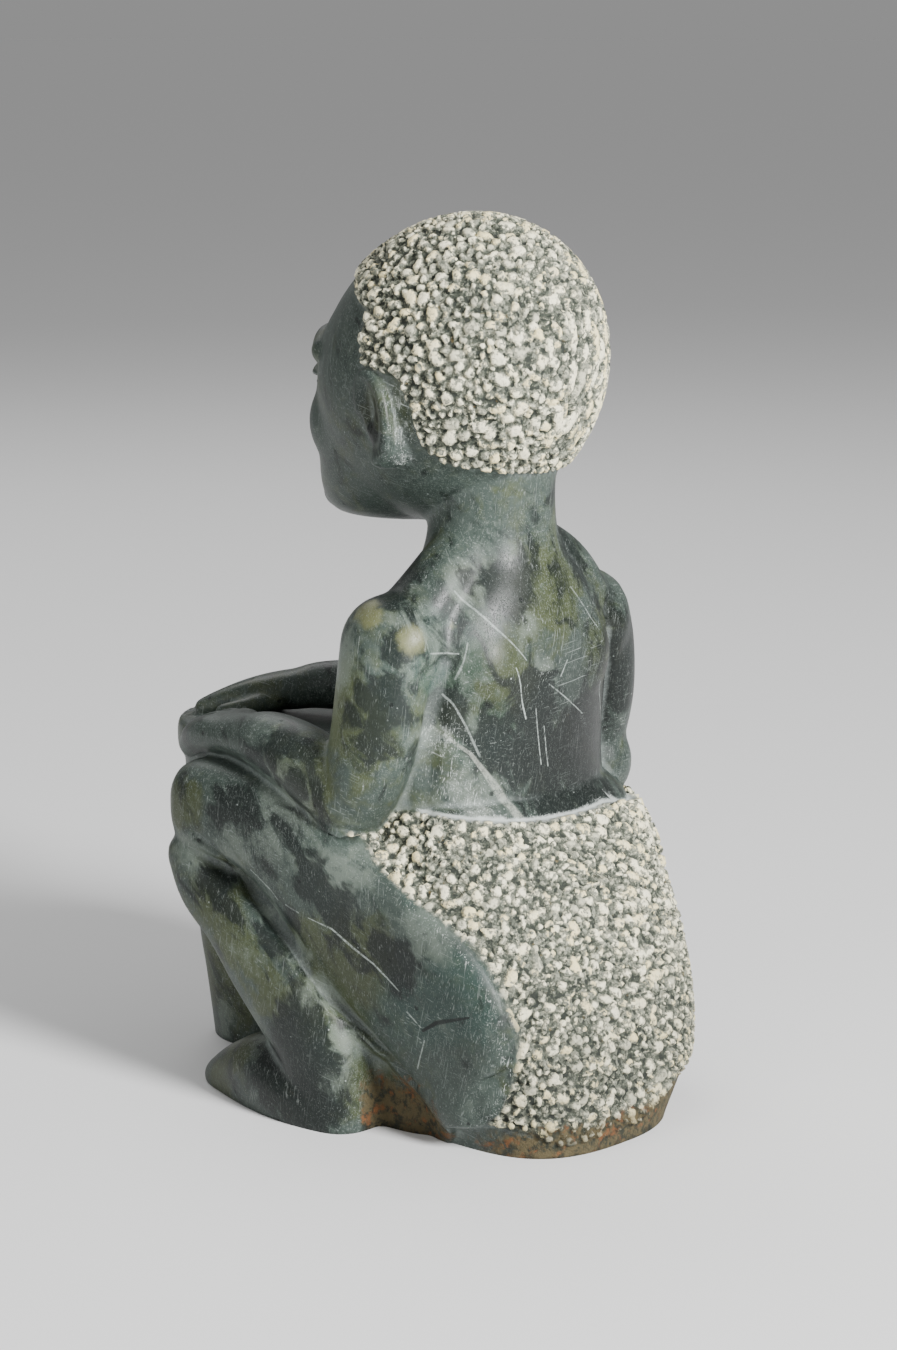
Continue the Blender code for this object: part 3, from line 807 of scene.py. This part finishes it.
def rough_foot(points):
    """The brown unworked stone: at the foot of the cloth behind, and between heel and thigh."""
    x, y, z = points.T
    behind = eased((y - 25) / 12) * eased((10.5 - z + 3 * eased((5 - x) / 25)) / 6) * eased((46 - x) / 12)
    inside = eased((50 - np.abs(x)) / 4) * (np.abs(x) > 20)
    between = eased((20 - z) / 14) * eased((y + 6) / 5) * eased((30 - y) / 14) * inside
    return np.maximum(behind, between)


# Sculpting the stone


def stock():
    """The fused stock of the figure, and the points of the legs, the wrap and the drum before that."""
    body = region("body", [(torso,), (skull,), *[(upper_arm, side) for side in BOTH]], VOXEL, 1.9)
    for side in BOTH:
        hollow(body.data, (11.5, -45.5, 179.5), (9.5, 8, 6.5), 2.4, side)
    lower = [(builder, side) for side in BOTH for builder in (thigh, shin, foot)]
    legs = region("legs", [*lower, (hips,), (core,), (drum,)], VOXEL, 0.8)
    hands = [(forearm_left,), (hand_left,), (forearm_right,), (hand_right,)]
    details = region("details", [(face,), *hands, *[(ear, side) for side in BOTH]], FINE_VOXEL, 0.6)
    lower_stock = coordinates(legs.data)
    return fuse(join("carved_stone", [body, legs, details]), SKIN_VOXEL, 0.9), lower_stock


def bend(obj, softness):
    """How far the skin lies under (creases, above 0) or over (edges, below 0) a rounded copy of itself."""
    copy = obj.copy()
    copy.data = obj.data.copy()
    bpy.context.scene.collection.objects.link(copy)
    soften = copy.modifiers.new("soften", "SMOOTH")
    soften.factor = 0.5
    soften.iterations = round(4 * (softness / SKIN_VOXEL) ** 2)
    applied(copy)
    apart = coordinates(copy.data) - coordinates(obj.data)
    bpy.data.objects.remove(copy)
    return (apart * normals(obj.data)).sum(1)


def carved_stone():
    figure, lower_stock = stock()
    mesh = figure.data
    carve(mesh)
    plain = coordinates(mesh)
    hair, cloth, lip = pecked_parts(plain, lower_stock)
    push(mesh, lift_over_skin(plain, hair, cloth, lip))
    crease = bend(figure, 2.4)
    edge = -bend(figure, 0.9)
    pecked = np.maximum(hair, cloth)
    raised = coordinates(mesh)
    marks = peck_marks(raised, normals(mesh), pecked)
    chosen = np.flatnonzero(pecked > 0.02)
    height, _ = peck_height(raised[chosen], marks)
    push(mesh, (peck_relief(height) - 0.5 * MARK_RELIEF) * pecked[chosen], chosen)
    before = coordinates(mesh)
    thin = figure.modifiers.new("fewer_faces", "DECIMATE")
    thin.ratio = TRIANGLES / (2 * len(mesh.polygons))
    thin.use_collapse_triangulate = True
    applied(figure)
    mesh = figure.data
    saw_flat(mesh)
    points = coordinates(mesh)
    index, _ = nearest(points, before)
    pecked = pecked[index]
    chosen = np.flatnonzero(pecked > 0.02)
    height, tone = np.zeros(len(points)), np.zeros(len(points))
    height[chosen], tone[chosen] = peck_height(points[chosen], marks)
    looks = {"pecked": pecked, "mark": height, "tone": tone, "crease": crease[index], "edge": edge[index]}
    looks |= {name: patch(points, places) for name, places in PATCHES.items()}
    looks |= {"shading": shading(points), "powder": powder(points), "rough_foot": rough_foot(points)}
    for name, values in looks.items():
        layer = mesh.attributes.new(name, "FLOAT", "POINT")
        layer.data.foreach_set("value", values.astype(np.float32))
    low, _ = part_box("stone_drummer")
    forward = low.y - DRUM_FRONT * PART
    mesh.transform(Matrix.Translation((0, forward, 0)) @ Matrix.Scale(PART, 4))
    print(f"carved stone: {len(points)} points, {len(mesh.polygons)} triangles, {len(marks)} marks")
    return figure


# The stone's material. Lengths in it are millimetres in the row's frame


class Nodes:
    """Builds a node tree from nested calls: each call returns the socket that it makes."""

    def __init__(self, tree):
        self.tree = tree

    def make(self, kind, inputs=(), output=0, **settings):
        node = self.tree.nodes.new(kind)
        for name, setting in settings.items():
            setattr(node, name, setting)
        for key, given in dict(inputs).items():
            if isinstance(given, bpy.types.NodeSocket):
                self.tree.links.new(given, node.inputs[key])
            else:
                node.inputs[key].default_value = given
        return node.outputs[output]

    def math(self, operation, *operands, **settings):
        return self.make("ShaderNodeMath", enumerate(operands), operation=operation, **settings)

    def vectors(self, operation, first, second, output=0):
        return self.make("ShaderNodeVectorMath", {0: first, 1: second}, output, operation=operation)

    def scaled(self, vector, share):
        return self.make("ShaderNodeVectorMath", {0: vector, "Scale": share}, operation="SCALE")

    def add(self, *terms):
        """The sum of the terms. A term is a socket, or a socket and its weight."""
        total = 0.0
        for term in terms:
            source, weight = term if isinstance(term, tuple) else (term, 1.0)
            total = self.math("MULTIPLY_ADD", source, weight, total)
        return total

    def times(self, first, *others):
        for other in others:
            first = self.math("MULTIPLY", first, other)
        return first

    def ramp(self, value, low, high, start=0.0, end=1.0):
        """A smooth step from start to end as the value goes from low to high."""
        ends = {"Value": value, "From Min": low, "From Max": high, "To Min": start, "To Max": end}
        return self.make("ShaderNodeMapRange", ends, interpolation_type="SMOOTHSTEP")

    def noise(self, place, size, detail, roughness, distortion=0.0):
        """Clouds of about that size, near 0.5 on average."""
        inputs = {"Vector": place, "Scale": 1 / size, "Detail": detail}
        inputs |= {"Roughness": roughness, "Distortion": distortion}
        return self.make("ShaderNodeTexNoise", inputs, "Fac")

    def cells(self, place, scale, output="Distance"):
        """Voronoi cells, `scale` of them to a millimetre."""
        inputs = {"Vector": place, "Scale": scale, "Randomness": 1.0}
        return self.make("ShaderNodeTexVoronoi", inputs, output)

    def mix(self, share, first, second):
        return self.make("ShaderNodeMix", {0: share, 6: first, 7: second}, 2, data_type="RGBA")

    def attribute(self, name):
        return self.make("ShaderNodeAttribute", (), "Fac", attribute_name=name)

    def turned(self, place, turn, stretch):
        """The place in a frame turned by the angles, in degrees, and drawn out along its first axis."""
        angles = tuple(math.radians(a) for a in turn)
        inputs = {"Vector": place, "Rotation": angles, "Scale": stretch}
        return self.make("ShaderNodeMapping", inputs, vector_type="TEXTURE")

    def line(self, place, start, end, width, through):
        """1 on a straight mark and 0 off it, with the place seen along the axis `through`."""
        seen = [1.0, 1.0, 1.0]
        seen[through] = 0.0
        start, end = (Vector((*spot[:through], 0.0, *spot[through:])) for spot in (start, end))
        run = end - start
        apart = self.vectors("SUBTRACT", self.vectors("MULTIPLY", place, seen), start)
        along = self.vectors("DOT_PRODUCT", apart, run / run.length_squared, "Value")
        share = self.math("MULTIPLY_ADD", along, 1.0, 0.0, use_clamp=True)
        gap = self.vectors("DISTANCE", apart, self.scaled(run, share), "Value")
        breadth = self.math("MULTIPLY_ADD", share, width[1] - width[0], width[0])
        return self.ramp(self.math("DIVIDE", gap, breadth), 0.45, 1.0, 1.0, 0.0)

    def lines(self, place, rows, through):
        share = 0.0
        for start, end, width, strength in rows:
            line = self.times(self.line(place, start, end, width, through), strength)
            share = self.math("MAXIMUM", line, share)
        return share


# Veins, scratches and cracks that the photograph shows, as (start, end, half width at each end, strength).
# Those on the back are seen from behind, as (x, z), and those on the thigh from the left, as (y, z)
BACK_VEINS = [
    ((31, 99), (28.9, 96), (0.3, 0.4), 0.35),
    ((28.9, 96), (24.3, 92), (0.4, 0.6), 0.5),
    ((24.3, 92), (20.5, 86.7), (0.6, 0.9), 0.6),
    ((20.5, 86.7), (17.3, 81.9), (0.9, 1.4), 0.65),
    ((17.3, 81.9), (14, 74.8), (1.4, 1.7), 0.65),
]
BACK_MARKS = [
    ((29.7, 106.9), (25.6, 98.8), (0.22, 0.3), 0.6),
    ((25.6, 98.8), (22.2, 91.3), (0.3, 0.36), 0.5),
    ((15.4, 112.6), (10.3, 99.2), (0.2, 0.28), 0.9),
    ((7.4, 101.3), (4.4, 87), (0.2, 0.22), 0.7),
    ((4.1, 96.5), (2, 86.2), (0.2, 0.2), 0.7),
    ((3.6, 107), (-11.4, 97.2), (0.22, 0.18), 0.6),
    ((-2.8, 112), (-0.6, 108.4), (0.25, 0.25), 0.7),
    ((24.6, 131), (19, 122.7), (0.3, 0.4), 0.6),
    ((19, 122.7), (11.5, 113.9), (0.35, 0.2), 0.6),
    ((35.2, 117.6), (27.5, 116.7), (0.25, 0.25), 0.7),
    ((25.3, 119.2), (28.1, 110.6), (0.2, 0.2), 0.5),
    ((-8, 129), (-17, 118), (0.3, 0.2), 0.5),
    ((-19, 104), (-27, 92), (0.3, 0.2), 0.5),
]
THIGH_MARKS = [
    ((9.7, 51.7), (17.3, 50.2), (0.15, 0.3), 0.9),
    ((17.3, 50.2), (23.7, 46.6), (0.3, 0.45), 1.0),
    ((23.7, 46.6), (29.9, 43.7), (0.4, 0.3), 0.9),
    ((29.9, 43.7), (33.6, 41.1), (0.35, 0.3), 0.9),
    ((33.6, 41.1), (37.3, 38.2), (0.3, 0.2), 0.7),
    ((39.2, 33.3), (43, 30), (0.3, 0.2), 0.6),
    ((-9.3, 60.5), (-2.5, 56.3), (0.2, 0.25), 0.6),
    ((-2.5, 56.3), (-0.5, 54.3), (0.25, 0.2), 0.6),
    ((2.3, 53.6), (6.6, 52.4), (0.3, 0.25), 0.5),
    ((43.7, 26.8), (40.6, 19), (0.25, 0.25), 0.6),
]
THIGH_CRACKS = [
    ((43.5, 29.3), (47.8, 32.1), (0.5, 0.8), 1.0),
    ((47.8, 32.1), (57.1, 35), (0.8, 0.4), 0.9),
]

# The directions that the sandpaper and the years scratched in, as turns in degrees
SCRATCH_TURNS = [(0, 72, 20), (20, 108, 75), (75, 20, 110), (10, 95, 140), (50, 40, 62), (0, 4, 4)]

NEAR_BLACK = (0.006, 0.009, 0.008, 1)
GREY_GREEN = (0.036, 0.050, 0.042, 1)
OLIVE_GREEN = (0.046, 0.056, 0.022, 1)
TEAL_GREEN = (0.024, 0.052, 0.044, 1)
PALE_GREEN = (0.125, 0.150, 0.125, 1)
DUST = (0.30, 0.34, 0.325, 1)
POWDER = (0.60, 0.64, 0.61, 1)
SCRATCH = (0.40, 0.45, 0.42, 1)
VEIN = (0.36, 0.38, 0.33, 1)
OCHRE = (0.15, 0.105, 0.035, 1)
YELLOW_GREEN = (0.15, 0.155, 0.065, 1)
RUST = (0.135, 0.060, 0.024, 1)
EARTH = (0.024, 0.026, 0.017, 1)
CLAY = (0.085, 0.068, 0.034, 1)
# Near black, for pits in the ground and for painted shade in the gaps between the peck marks
PIT_AND_GAP_SHADE = (0.028, 0.033, 0.027, 1)
GROUND_DARK = (0.060, 0.070, 0.052, 1)
GROUND_PALE = (0.145, 0.155, 0.12, 1)
BRUISE = (0.31, 0.32, 0.25, 1)
CHALK = (0.97, 0.92, 0.67, 1)
CREAM = (0.93, 0.80, 0.42, 1)

BUMP_DEPTH = 0.00014  # metres, of the relief that is too fine for the mesh
ATTRIBUTES = ["pecked", "mark", "tone", "crease", "edge", *PATCHES, "shading", "powder", "rough_foot"]


def new_material(name):
    material = bpy.data.materials.new(name)
    material.use_nodes = True
    return material, material.node_tree.nodes["Principled BSDF"]


def stone_material():
    material, shader = new_material("drummer_serpentine")
    tree = material.node_tree
    nodes = Nodes(tree)
    add, mix, ramp, times = nodes.add, nodes.mix, nodes.ramp, nodes.times
    spot = nodes.make("ShaderNodeTexCoord", (), "Object")
    place = nodes.scaled(spot, 1000.0)
    shifted = nodes.vectors("ADD", place, (41.0, 17.0, 63.0))
    at = {name: nodes.attribute(name) for name in ATTRIBUTES}

    # Clouds at several sizes
    broad = nodes.noise(place, 26, 3, 0.55, 0.7)
    drawn_out = nodes.turned(place, (-48, 0, 0), (6.5, 13, 6.5))
    cloud = nodes.noise(drawn_out, 1.0, 5, 0.60, 0.9)
    other_broad = nodes.noise(shifted, 20, 4, 0.6, 0.9)
    other_cloud = nodes.noise(shifted, 6, 5, 0.65, 1.0)
    fleck = nodes.noise(place, 1.5, 4, 0.65)
    grain = nodes.noise(place, 0.45, 3, 0.7)

    # Polished stone, from its darkest to its palest
    dark = ramp(add((broad, 0.45), (cloud, 0.65), (at["dark"], 0.24)), 0.56, 0.68)
    olive = ramp(add((other_broad, 0.6), (other_cloud, 0.4), (at["olive"], 0.26)), 0.50, 0.66)
    teal = ramp(add((other_cloud, 0.5), (broad, 0.4), (at["teal"], 0.30)), 0.50, 0.66)
    pale = ramp(add((cloud, -0.6), (other_cloud, 0.4), (at["pale"], 0.24), 0.6), 0.54, 0.74)
    stone = mix(times(olive, 0.85), GREY_GREEN, OLIVE_GREEN)
    stone = mix(times(teal, 0.6), stone, TEAL_GREEN)
    stone = mix(times(pale, 0.65), stone, PALE_GREEN)
    stone = mix(times(dark, 0.88), stone, NEAR_BLACK)
    flecked = times(ramp(fleck, 0.50, 0.74, 0.0, 0.25), add((dark, -0.75), 1.0))
    stone = mix(flecked, stone, PALE_GREEN)
    stone = mix(ramp(fleck, 0.30, 0.44, 0.35, 0.0), stone, NEAR_BLACK)
    yellow = ramp(add(at["yellow"], (fleck, 0.5), (cloud, 0.5), -0.5), 0.30, 0.80)
    stone = mix(times(yellow, 0.6), stone, YELLOW_GREEN)
    stone = nodes.scaled(stone, add(at["shading"], 1.0))

    # Sanding scratches in patches: a soft grain and a few sharp lines in each direction
    scratches = 0.0
    fields = [(cloud, 0.1, 1.0), (other_cloud, 0.1, 1.0), (cloud, 1.0, 0.1), (other_cloud, 1.0, 0.1)]
    fields += [(broad, 0.1, 1.0), (other_broad, 1.0, 0.1)]
    for i, (turn, (field, start, end)) in enumerate(zip(SCRATCH_TURNS, fields)):
        length, width = ((16.0, 0.36), (11.0, 0.30), (22.0, 0.44))[i % 3]
        drawn = nodes.turned(shifted, turn, (length, width, width))
        streak = nodes.noise(drawn, 1.0, 1.0, 0.5)
        lines = add((ramp(streak, 0.54, 0.70), 0.07), (ramp(streak, 0.655, 0.70), 0.93))
        patchy = times(lines, ramp(field, 0.38, 0.60, start, end))
        scratches = nodes.math("MAXIMUM", patchy, scratches)
    stone = mix(times(scratches, add((dark, -0.15), 0.25)), stone, SCRATCH)

    # Specks: pale bruises and dark pits
    speck = ramp(add(nodes.cells(place, 0.22), (fleck, 0.20), (grain, 0.12)), 0.155, 0.215, 1.0, 0.0)
    pit = ramp(add(nodes.cells(shifted, 0.11), (grain, 0.12)), 0.10, 0.145, 1.0, 0.0)
    stone = mix(times(speck, 0.8), stone, SCRATCH)
    stone = mix(times(pit, 0.8), stone, NEAR_BLACK)

    # Marks that the photograph shows
    axes = nodes.make("ShaderNodeSeparateXYZ", {0: place}, "X").node
    at_back = ramp(axes.outputs["Y"], 28, 31)
    at_side = ramp(axes.outputs["X"], 36, 39)
    ragged = ramp(add((fleck, 0.5), (grain, 0.5)), 0.36, 0.56, 0.1, 1.0)
    veins = times(nodes.lines(place, BACK_VEINS, 1), at_back, ragged)
    fine_lines = times(nodes.lines(place, BACK_MARKS, 1), at_back, ragged)
    thigh_lines = times(nodes.lines(place, THIGH_MARKS, 0), at_side, ragged)
    cracks = times(nodes.lines(place, THIGH_CRACKS, 0), at_side)
    stone = mix(veins, stone, VEIN)
    stone = mix(times(nodes.math("MAXIMUM", fine_lines, thigh_lines), 0.9), stone, SCRATCH)
    stone = mix(cracks, stone, NEAR_BLACK)

    # Dust in the creases, edges paled by wear and by painted highlight, and the powdery line along the cloth
    drift = add(at["crease"], (cloud, 0.35), (fleck, 0.22))
    dusty = times(ramp(drift, 0.36, 0.78), ramp(grain, 0.3, 0.6, 0.5, 1.0))
    stone = mix(times(dusty, 0.32), stone, DUST)
    # Convex edges paled: partly wear, partly painted highlight
    worn_and_highlit = ramp(add(at["edge"], (fleck, 0.16)), 0.20, 0.42)
    stone = mix(times(worn_and_highlit, 0.30), stone, DUST)
    loose = add(at["powder"], (fleck, 0.6), (grain, 0.4), (scratches, 0.35), (cloud, 0.4), -0.75)
    powdery = ramp(loose, 0.25, 0.80)
    stone = mix(times(powdery, 0.65), stone, POWDER)

    # Brown unworked stone at the foot
    clods = nodes.noise(shifted, 2.6, 5, 0.65, 0.4)
    brown = mix(ramp(add((clods, 0.7), (fleck, 0.3)), 0.42, 0.56), EARTH, CLAY)
    brown = mix(ramp(add((clods, -0.5), (other_cloud, 0.8), (fleck, 0.4)), 0.38, 0.52), brown, RUST)
    footing = ramp(add(at["rough_foot"], (other_cloud, 1.2), (fleck, 0.8), -1.0), 0.25, 0.85)

    # Pecked stone: a mottled grey-green ground, with painted shade in the low gaps between the marks and
    # toward the bottom, and bruised marks from grey to chalk, chipped at the edges
    chips = nodes.cells(place, 1.05, "Color")
    clumps = nodes.noise(place, 1.3, 3, 0.6)
    tone = at["tone"]
    uneven = add(at["mark"], (chips, 0.8), (grain, 0.9), (clumps, 0.7), (tone, 0.10), -1.25)
    ground = mix(ramp(add((cloud, 0.4), (fleck, 0.6)), 0.40, 0.62), GROUND_DARK, GROUND_PALE)
    fine = nodes.noise(shifted, 0.7, 3, 0.65)
    ground = mix(ramp(fine, 0.34, 0.46, 0.8, 0.0), ground, PIT_AND_GAP_SHADE)
    ground = mix(ramp(fine, 0.60, 0.68, 0.0, 0.6), ground, CHALK)
    chalk = mix(ramp(add(tone, (other_cloud, 0.6), -0.3), 0.45, 0.90, 0.0, 0.85), CHALK, CREAM)
    chalk = mix(ramp(tone, 0.10, 0.22, 0.6, 0.0), chalk, BRUISE)
    chalk = mix(ramp(fine, 0.36, 0.50, 0.45, 0.0), chalk, BRUISE)
    # Painted shade: the ground darkens to near black where it lies lowest between the marks
    ground = mix(ramp(uneven, -0.30, 0.06), PIT_AND_GAP_SHADE, ground)
    rough = mix(ramp(uneven, 0.02, 0.34), ground, BRUISE)
    whiteness = ramp(uneven, 0.31, 0.47)
    rough = mix(whiteness, rough, chalk)
    stain = ramp(nodes.noise(shifted, 2.2, 3, 0.6), 0.66, 0.74, 0.0, 0.6)
    rough = mix(stain, rough, OCHRE)
    # Painted shade: the pecked stone darkens toward the bottom
    rough = nodes.scaled(rough, ramp(axes.outputs["Z"], 0, 62, 0.62, 1.0))

    colour = mix(at["pecked"], stone, rough)
    colour = mix(times(footing, ramp(uneven, 0.2, 0.8, 1.0, 0.6)), colour, brown)
    tree.links.new(colour, shader.inputs["Base Color"])

    raw = nodes.math("MAXIMUM", at["pecked"], footing)
    dullness = add((fleck, 0.20), (dusty, 0.30), (powdery, 0.25), (scratches, 0.10), (dark, -0.05), 0.30)
    roughness = nodes.math("MAXIMUM", dullness, times(raw, 0.82))
    tree.links.new(roughness, shader.inputs["Roughness"])

    polish_relief = add((scratches, -0.35), (speck, -0.5), (pit, -0.8), (fleck, 0.10))
    rough_relief = add((grain, 1.4), (uneven, 0.8), (whiteness, 1.6), (fine, 1.0), (clods, 3.0))
    relief = mix(raw, polish_relief, rough_relief)
    bump = nodes.make("ShaderNodeBump", {"Height": relief, "Strength": 1.0, "Distance": BUMP_DEPTH}, "Normal")
    tree.links.new(bump, shader.inputs["Normal"])
    shader.inputs["Metallic"].default_value = 0.0
    shader.inputs["IOR"].default_value = 1.50
    shader.inputs["Specular IOR Level"].default_value = 0.27
    return material


# The stage
FLOOR_REACH = 60.0  # metres each way
FLOOR_ALBEDO = 0.76
SKY_OVERHEAD = 0.43
CAMERA_AZIMUTH = 132.0
CAMERA_ELEVATION = 11.0
CAMERA_DISTANCE = 0.8334
CAMERA_TARGET = (0, -13, 104)  # in parts
VIEW_HEIGHT = 22.9  # degrees

# Lights, as (name, metres towards the camera, across and up, diameter in metres, watts)
LIT_PLACE = (0, 0, 0.11)
LIGHTS = [
    ("key", (0.95, 0.85, 0.45), 0.42, 50.0),
    ("fill", (0.9, -0.9, 0.25), 0.9, 3.5),
    ("front", (-0.9, -0.3, 1.2), 1.0, 7.0),
]


def floor():
    clay = bmesh.new()
    bmesh.ops.create_grid(clay, x_segments=1, y_segments=1, size=FLOOR_REACH)
    made = mesh_object("floor", clay)
    material, shader = new_material("pale_floor")
    shader.inputs["Base Color"].default_value = (FLOOR_ALBEDO, FLOOR_ALBEDO, FLOOR_ALBEDO, 1)
    shader.inputs["Roughness"].default_value = 1.0
    shader.inputs["Specular IOR Level"].default_value = 0.0
    made.data.materials.append(material)
    return made


def sky():
    """A pale sky, brighter overhead, and at the horizon just as bright as the floor that it lights."""
    world = bpy.data.worlds.new("studio")
    world.use_nodes = True
    nodes = Nodes(world.node_tree)
    direction = nodes.make("ShaderNodeTexCoord", (), "Generated")
    height = nodes.make("ShaderNodeSeparateXYZ", {0: direction}, "Z")
    horizon = SKY_OVERHEAD * 2 * FLOOR_ALBEDO / (3 - FLOOR_ALBEDO)
    rise = {"Value": height, "From Min": 0.0, "From Max": 1.0, "To Min": horizon, "To Max": SKY_OVERHEAD}
    brightness = nodes.make("ShaderNodeMapRange", rise)
    background = world.node_tree.nodes["Background"]
    background.inputs["Color"].default_value = (1.0, 1.0, 1.0, 1)
    world.node_tree.links.new(brightness, background.inputs["Strength"])
    bpy.context.scene.world = world


def area_light(name, place, target, size, power):
    data = bpy.data.lights.new(name, "AREA")
    data.shape = "DISK"
    data.size = size
    data.energy = power
    light = bpy.data.objects.new(name, data)
    light.location = place
    light.rotation_euler = (target - place).to_track_quat("-Z", "Y").to_euler()
    bpy.context.scene.collection.objects.link(light)


def camera(forward):
    turn, rise = math.radians(CAMERA_AZIMUTH), math.radians(CAMERA_ELEVATION)
    back = Vector((math.sin(turn) * math.cos(rise), -math.cos(turn) * math.cos(rise), math.sin(rise)))
    target = Vector(CAMERA_TARGET) * PART + Vector((0, forward, 0))
    data = bpy.data.cameras.new("camera")
    data.sensor_width = 36.0
    data.lens = 18.0 / math.tan(math.radians(VIEW_HEIGHT) / 2)
    data.clip_start = 0.02
    made = bpy.data.objects.new("camera", data)
    made.location = target + back * CAMERA_DISTANCE
    made.rotation_euler = (-back).to_track_quat("-Z", "Y").to_euler()
    bpy.context.scene.collection.objects.link(made)
    bpy.context.scene.camera = made
    return made


def studio(eye):
    sky()
    middle = Vector(LIT_PLACE)
    towards = (eye.location - middle).normalized()
    across = Vector((0, 0, 1)).cross(towards).normalized()
    for name, (near, aside, up), size, power in LIGHTS:
        place = middle + towards * near + across * aside + Vector((0, 0, up))
        area_light(name, place, middle, size, power)


figure = carved_stone()
figure.data.materials.append(stone_material())
figure.data.shade_smooth()
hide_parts("stone_drummer")
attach(figure, "root")
floor()
low_corner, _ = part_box("stone_drummer")
studio(camera(low_corner.y - DRUM_FRONT * PART))
